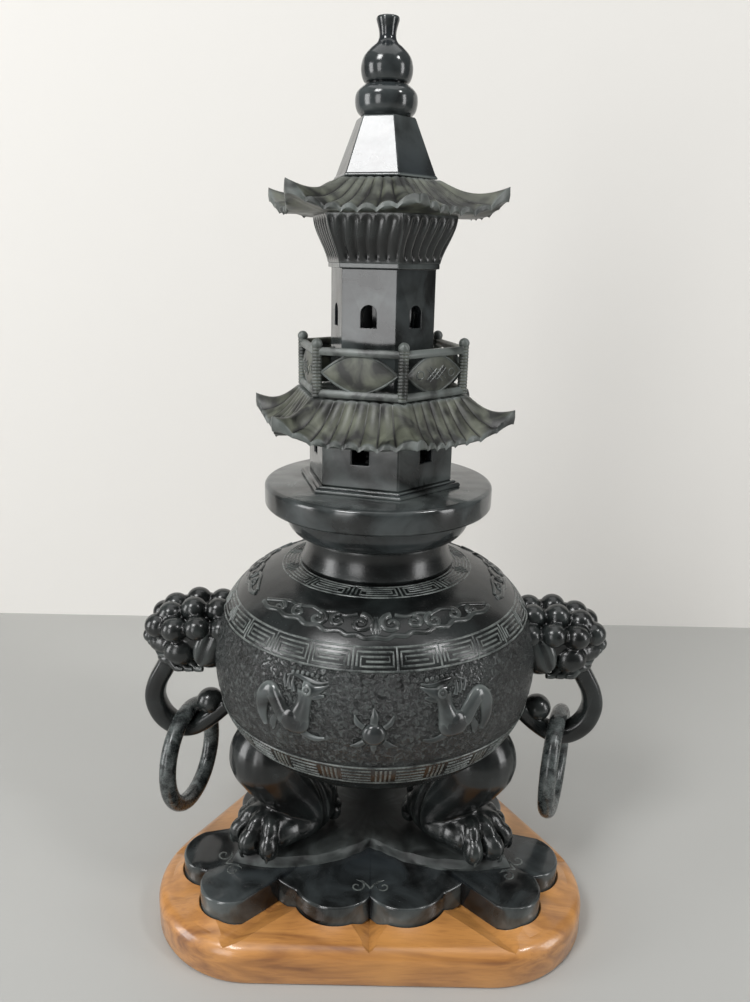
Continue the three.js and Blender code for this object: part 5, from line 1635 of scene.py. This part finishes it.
class BURNER_OT_spire(bpy.types.Operator):
    """Spire and the double-gourd finial"""

    bl_idname = "burner.spire"
    bl_label = "Spire and finial"

    def execute(self, context):
        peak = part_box("spire")[1].z
        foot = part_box("upper_roof")[1].z
        reach, top_reach = corner_reach("spire"), 13.5 * MM
        outline = [(0, foot), (reach, foot), (reach, foot + 0.8 * MM), (reach - 0.9 * MM, foot + 1.6 * MM)]
        outline += [(top_reach + 0.3 * MM, peak - 0.8 * MM), (top_reach - 0.4 * MM, peak), (0, peak)]
        piece = spun("spire_block", outline, 6, HEX_TURN)
        bevelled(piece, 0.5 * MM, 3, 25)
        crisp(settle(piece, "waxed_black_soapstone", "lid", "polished_stone", "spire", smooth=40))
        self.finial(peak)
        return {"FINISHED"}

    def finial(self, foot):
        """Double gourd with a flared lip, drawn 40 mm tall as (radius, height) and fitted to its box."""
        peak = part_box("finial")[1].z
        lower = [(10.6, 0), (12.9, 2.4), (13.8, 6.2), (13.2, 9.8), (10.6, 12.4), (8.9, 13.4)]
        upper = [(10.2, 14.6), (11.2, 17.4), (11.3, 20.6), (10.2, 24.2), (7.4, 27.4), (4.6, 29.8)]
        lip = [(3.7, 32), (3.9, 34.8), (4.7, 37.6), (5.0, 38.9), (4.6, 39.8), (3.4, 40)]
        smooth = curved([(r * MM, z * MM, 0) for r, z in lower + upper + lip], 4)
        tall = peak - foot
        outline = [(0, foot)] + [(p.x, foot + p.y * tall / (40 * MM)) for p in smooth]
        outline += [(2.6 * MM, peak - 0.9 * MM), (0, peak - 1.2 * MM)]
        gourd = spun("gourd_finial", outline, 72)
        settle(gourd, "waxed_black_soapstone", "lid", "polished_stone", "finial", smooth=50)


# Stage


class BURNER_OT_stage(bpy.types.Operator):
    """Pale floor and wall, soft lights and the camera"""

    bl_idname = "burner.stage"
    bl_label = "Stage"

    def execute(self, context):
        finish = context.scene.burner_finishes
        self.paint("studio_floor", finish.floor, 0.55)
        self.paint("studio_wall", finish.wall, 0.9, one_sided=True)
        floor = self.sheet("floor", 6, 6, Matrix.Identity(4))
        upright = Matrix.Translation((0, 0.33, 0.3)) @ Matrix.Rotation(math.pi / 2, 4, "X")
        wall = self.sheet("wall", 1.3, 0.6, upright)
        # Each lamp has its place, its size in metres and its power in watts.
        self.lamp("window_left", (-1.5, -0.42, 0.45), (0.5, 1.0), 12)
        self.lamp("window_front", (-0.75, -1.2, 0.4), (0.4, 0.9), 6)
        self.lamp("window_right", (1.35, -0.5, 0.45), (0.35, 0.9), 7)
        self.lamp("softbox", (-0.56, -0.7, 1.2), (0.36, 0.36), 9)
        self.lamp("lamp_right", (0.92, -0.61, 1.25), (0.2, 0.2), 5)
        self.lamp("ceiling", (0, 0, 1.7), (1.6, 1.6), 10)
        world = bpy.data.worlds.new("studio")
        context.scene.world = world
        world.use_nodes = True
        tree = world.node_tree
        background = tree.nodes["Background"]
        background.inputs["Color"].default_value = (0.8, 0.8, 0.79, 1)
        # The world is pale where the camera sees it and dim where it lights the stone.
        seen = add_node(tree, "ShaderNodeLightPath").outputs["Is Camera Ray"]
        tree.links.new(mapped(tree, seen, to_low=0.15, to_high=0.8), background.inputs["Strength"])
        lens = bpy.data.cameras.new("camera")
        camera = bpy.data.objects.new("camera", lens)
        context.scene.collection.objects.link(camera)
        # The focal length and the picture's longer side are in pixels.
        focal, tall_side = 833, 1002
        lens.sensor_width = 36
        lens.lens = focal / tall_side * lens.sensor_width
        lens.clip_start = 0.01
        pitch, roll = math.radians(16.3), math.radians(1.15)
        camera.location = (-0.0015, -0.400, 0.332)
        look = Matrix.Rotation(math.pi / 2 - pitch, 3, "X") @ Matrix.Rotation(roll, 3, "Z")
        camera.rotation_euler = look.to_euler()
        context.scene.camera = camera
        context.scene.view_settings.view_transform = "Standard"
        return {"FINISHED"}

    def sheet(self, name, wide, deep, place):
        """A flat rectangle with the paint of its name."""
        only()
        bpy.ops.mesh.primitive_plane_add(size=1)
        piece = named(name)
        piece.data.transform(place @ Matrix.Diagonal((wide, deep, 1, 1)))
        piece.data.materials.append(bpy.data.materials["studio_" + name])
        return piece

    def paint(self, name, shade, roughness, one_sided=False):
        """Plain paint. One-sided paint is clear from behind, so that the object is seen from every side."""
        tree = new_material(name)
        paint = add_node(tree, "ShaderNodeBsdfPrincipled", {"Base Color": shade, "Roughness": roughness})
        surface = paint.outputs["BSDF"]
        if one_sided:
            clear = add_node(tree, "ShaderNodeBsdfTransparent").outputs["BSDF"]
            behind = add_node(tree, "ShaderNodeNewGeometry").outputs["Backfacing"]
            mixed = add_node(tree, "ShaderNodeMixShader", {0: behind, 1: surface, 2: clear})
            surface = mixed.outputs["Shader"]
        add_node(tree, "ShaderNodeOutputMaterial", {"Surface": surface})

    def lamp(self, name, spot, size, power):
        light = bpy.data.lights.new(name, "AREA")
        light.shape = "RECTANGLE"
        light.size, light.size_y = size
        light.energy = power
        lamp = bpy.data.objects.new(name, light)
        bpy.context.scene.collection.objects.link(lamp)
        lamp.location = spot
        aim = Vector((0, 0, 0.2)) - Vector(spot)
        lamp.rotation_euler = aim.to_track_quat("-Z", "Y").to_euler()


class BURNER_PT_panel(bpy.types.Panel):
    """Buttons for each piece of the burner"""

    bl_idname = "BURNER_PT_panel"
    bl_label = "Incense Burner"
    bl_space_type = "VIEW_3D"
    bl_region_type = "UI"
    bl_category = "Incense Burner"

    def draw(self, context):
        for operator in OPERATORS:
            self.layout.operator(operator.bl_idname)
        for group in (context.scene.burner_sizes, context.scene.burner_finishes):
            column = self.layout.column()
            for key in group.bl_rna.properties.keys():
                if key not in {"rna_type", "name"}:
                    column.prop(group, key)


OPERATORS = (
    BURNER_OT_stage,
    BURNER_OT_stand,
    BURNER_OT_plinth,
    BURNER_OT_legs,
    BURNER_OT_bowl,
    BURNER_OT_frets,
    BURNER_OT_reliefs,
    BURNER_OT_rim,
    BURNER_OT_heads,
    BURNER_OT_straps,
    BURNER_OT_rings,
    BURNER_OT_lid_base,
    BURNER_OT_storeys,
    BURNER_OT_roofs,
    BURNER_OT_railing,
    BURNER_OT_bracket,
    BURNER_OT_spire,
)
CLASSES = (BurnerFinishes, BurnerSizes, *OPERATORS, BURNER_PT_panel)


def register():
    for cls in CLASSES:
        bpy.utils.register_class(cls)
    bpy.types.Scene.burner_finishes = PointerProperty(type=BurnerFinishes)
    bpy.types.Scene.burner_sizes = PointerProperty(type=BurnerSizes)


def unregister():
    del bpy.types.Scene.burner_sizes
    del bpy.types.Scene.burner_finishes
    for cls in reversed(CLASSES):
        bpy.utils.unregister_class(cls)


def main():
    register()
    finish = bpy.context.scene.burner_finishes
    make_stones(finish)
    make_wood(finish)
    bpy.ops.burner.stage()
    bpy.ops.burner.stand()
    bpy.ops.burner.plinth()
    bpy.ops.burner.legs()
    bpy.ops.burner.bowl()
    bpy.ops.burner.frets()
    bpy.ops.burner.reliefs()
    bpy.ops.burner.rim()
    bpy.ops.burner.heads()
    bpy.ops.burner.straps()
    bpy.ops.burner.rings()
    bpy.ops.burner.lid_base()
    bpy.ops.burner.storeys()
    bpy.ops.burner.roofs()
    bpy.ops.burner.railing()
    bpy.ops.burner.bracket()
    bpy.ops.burner.spire()


if __name__ == "__main__":
    main()
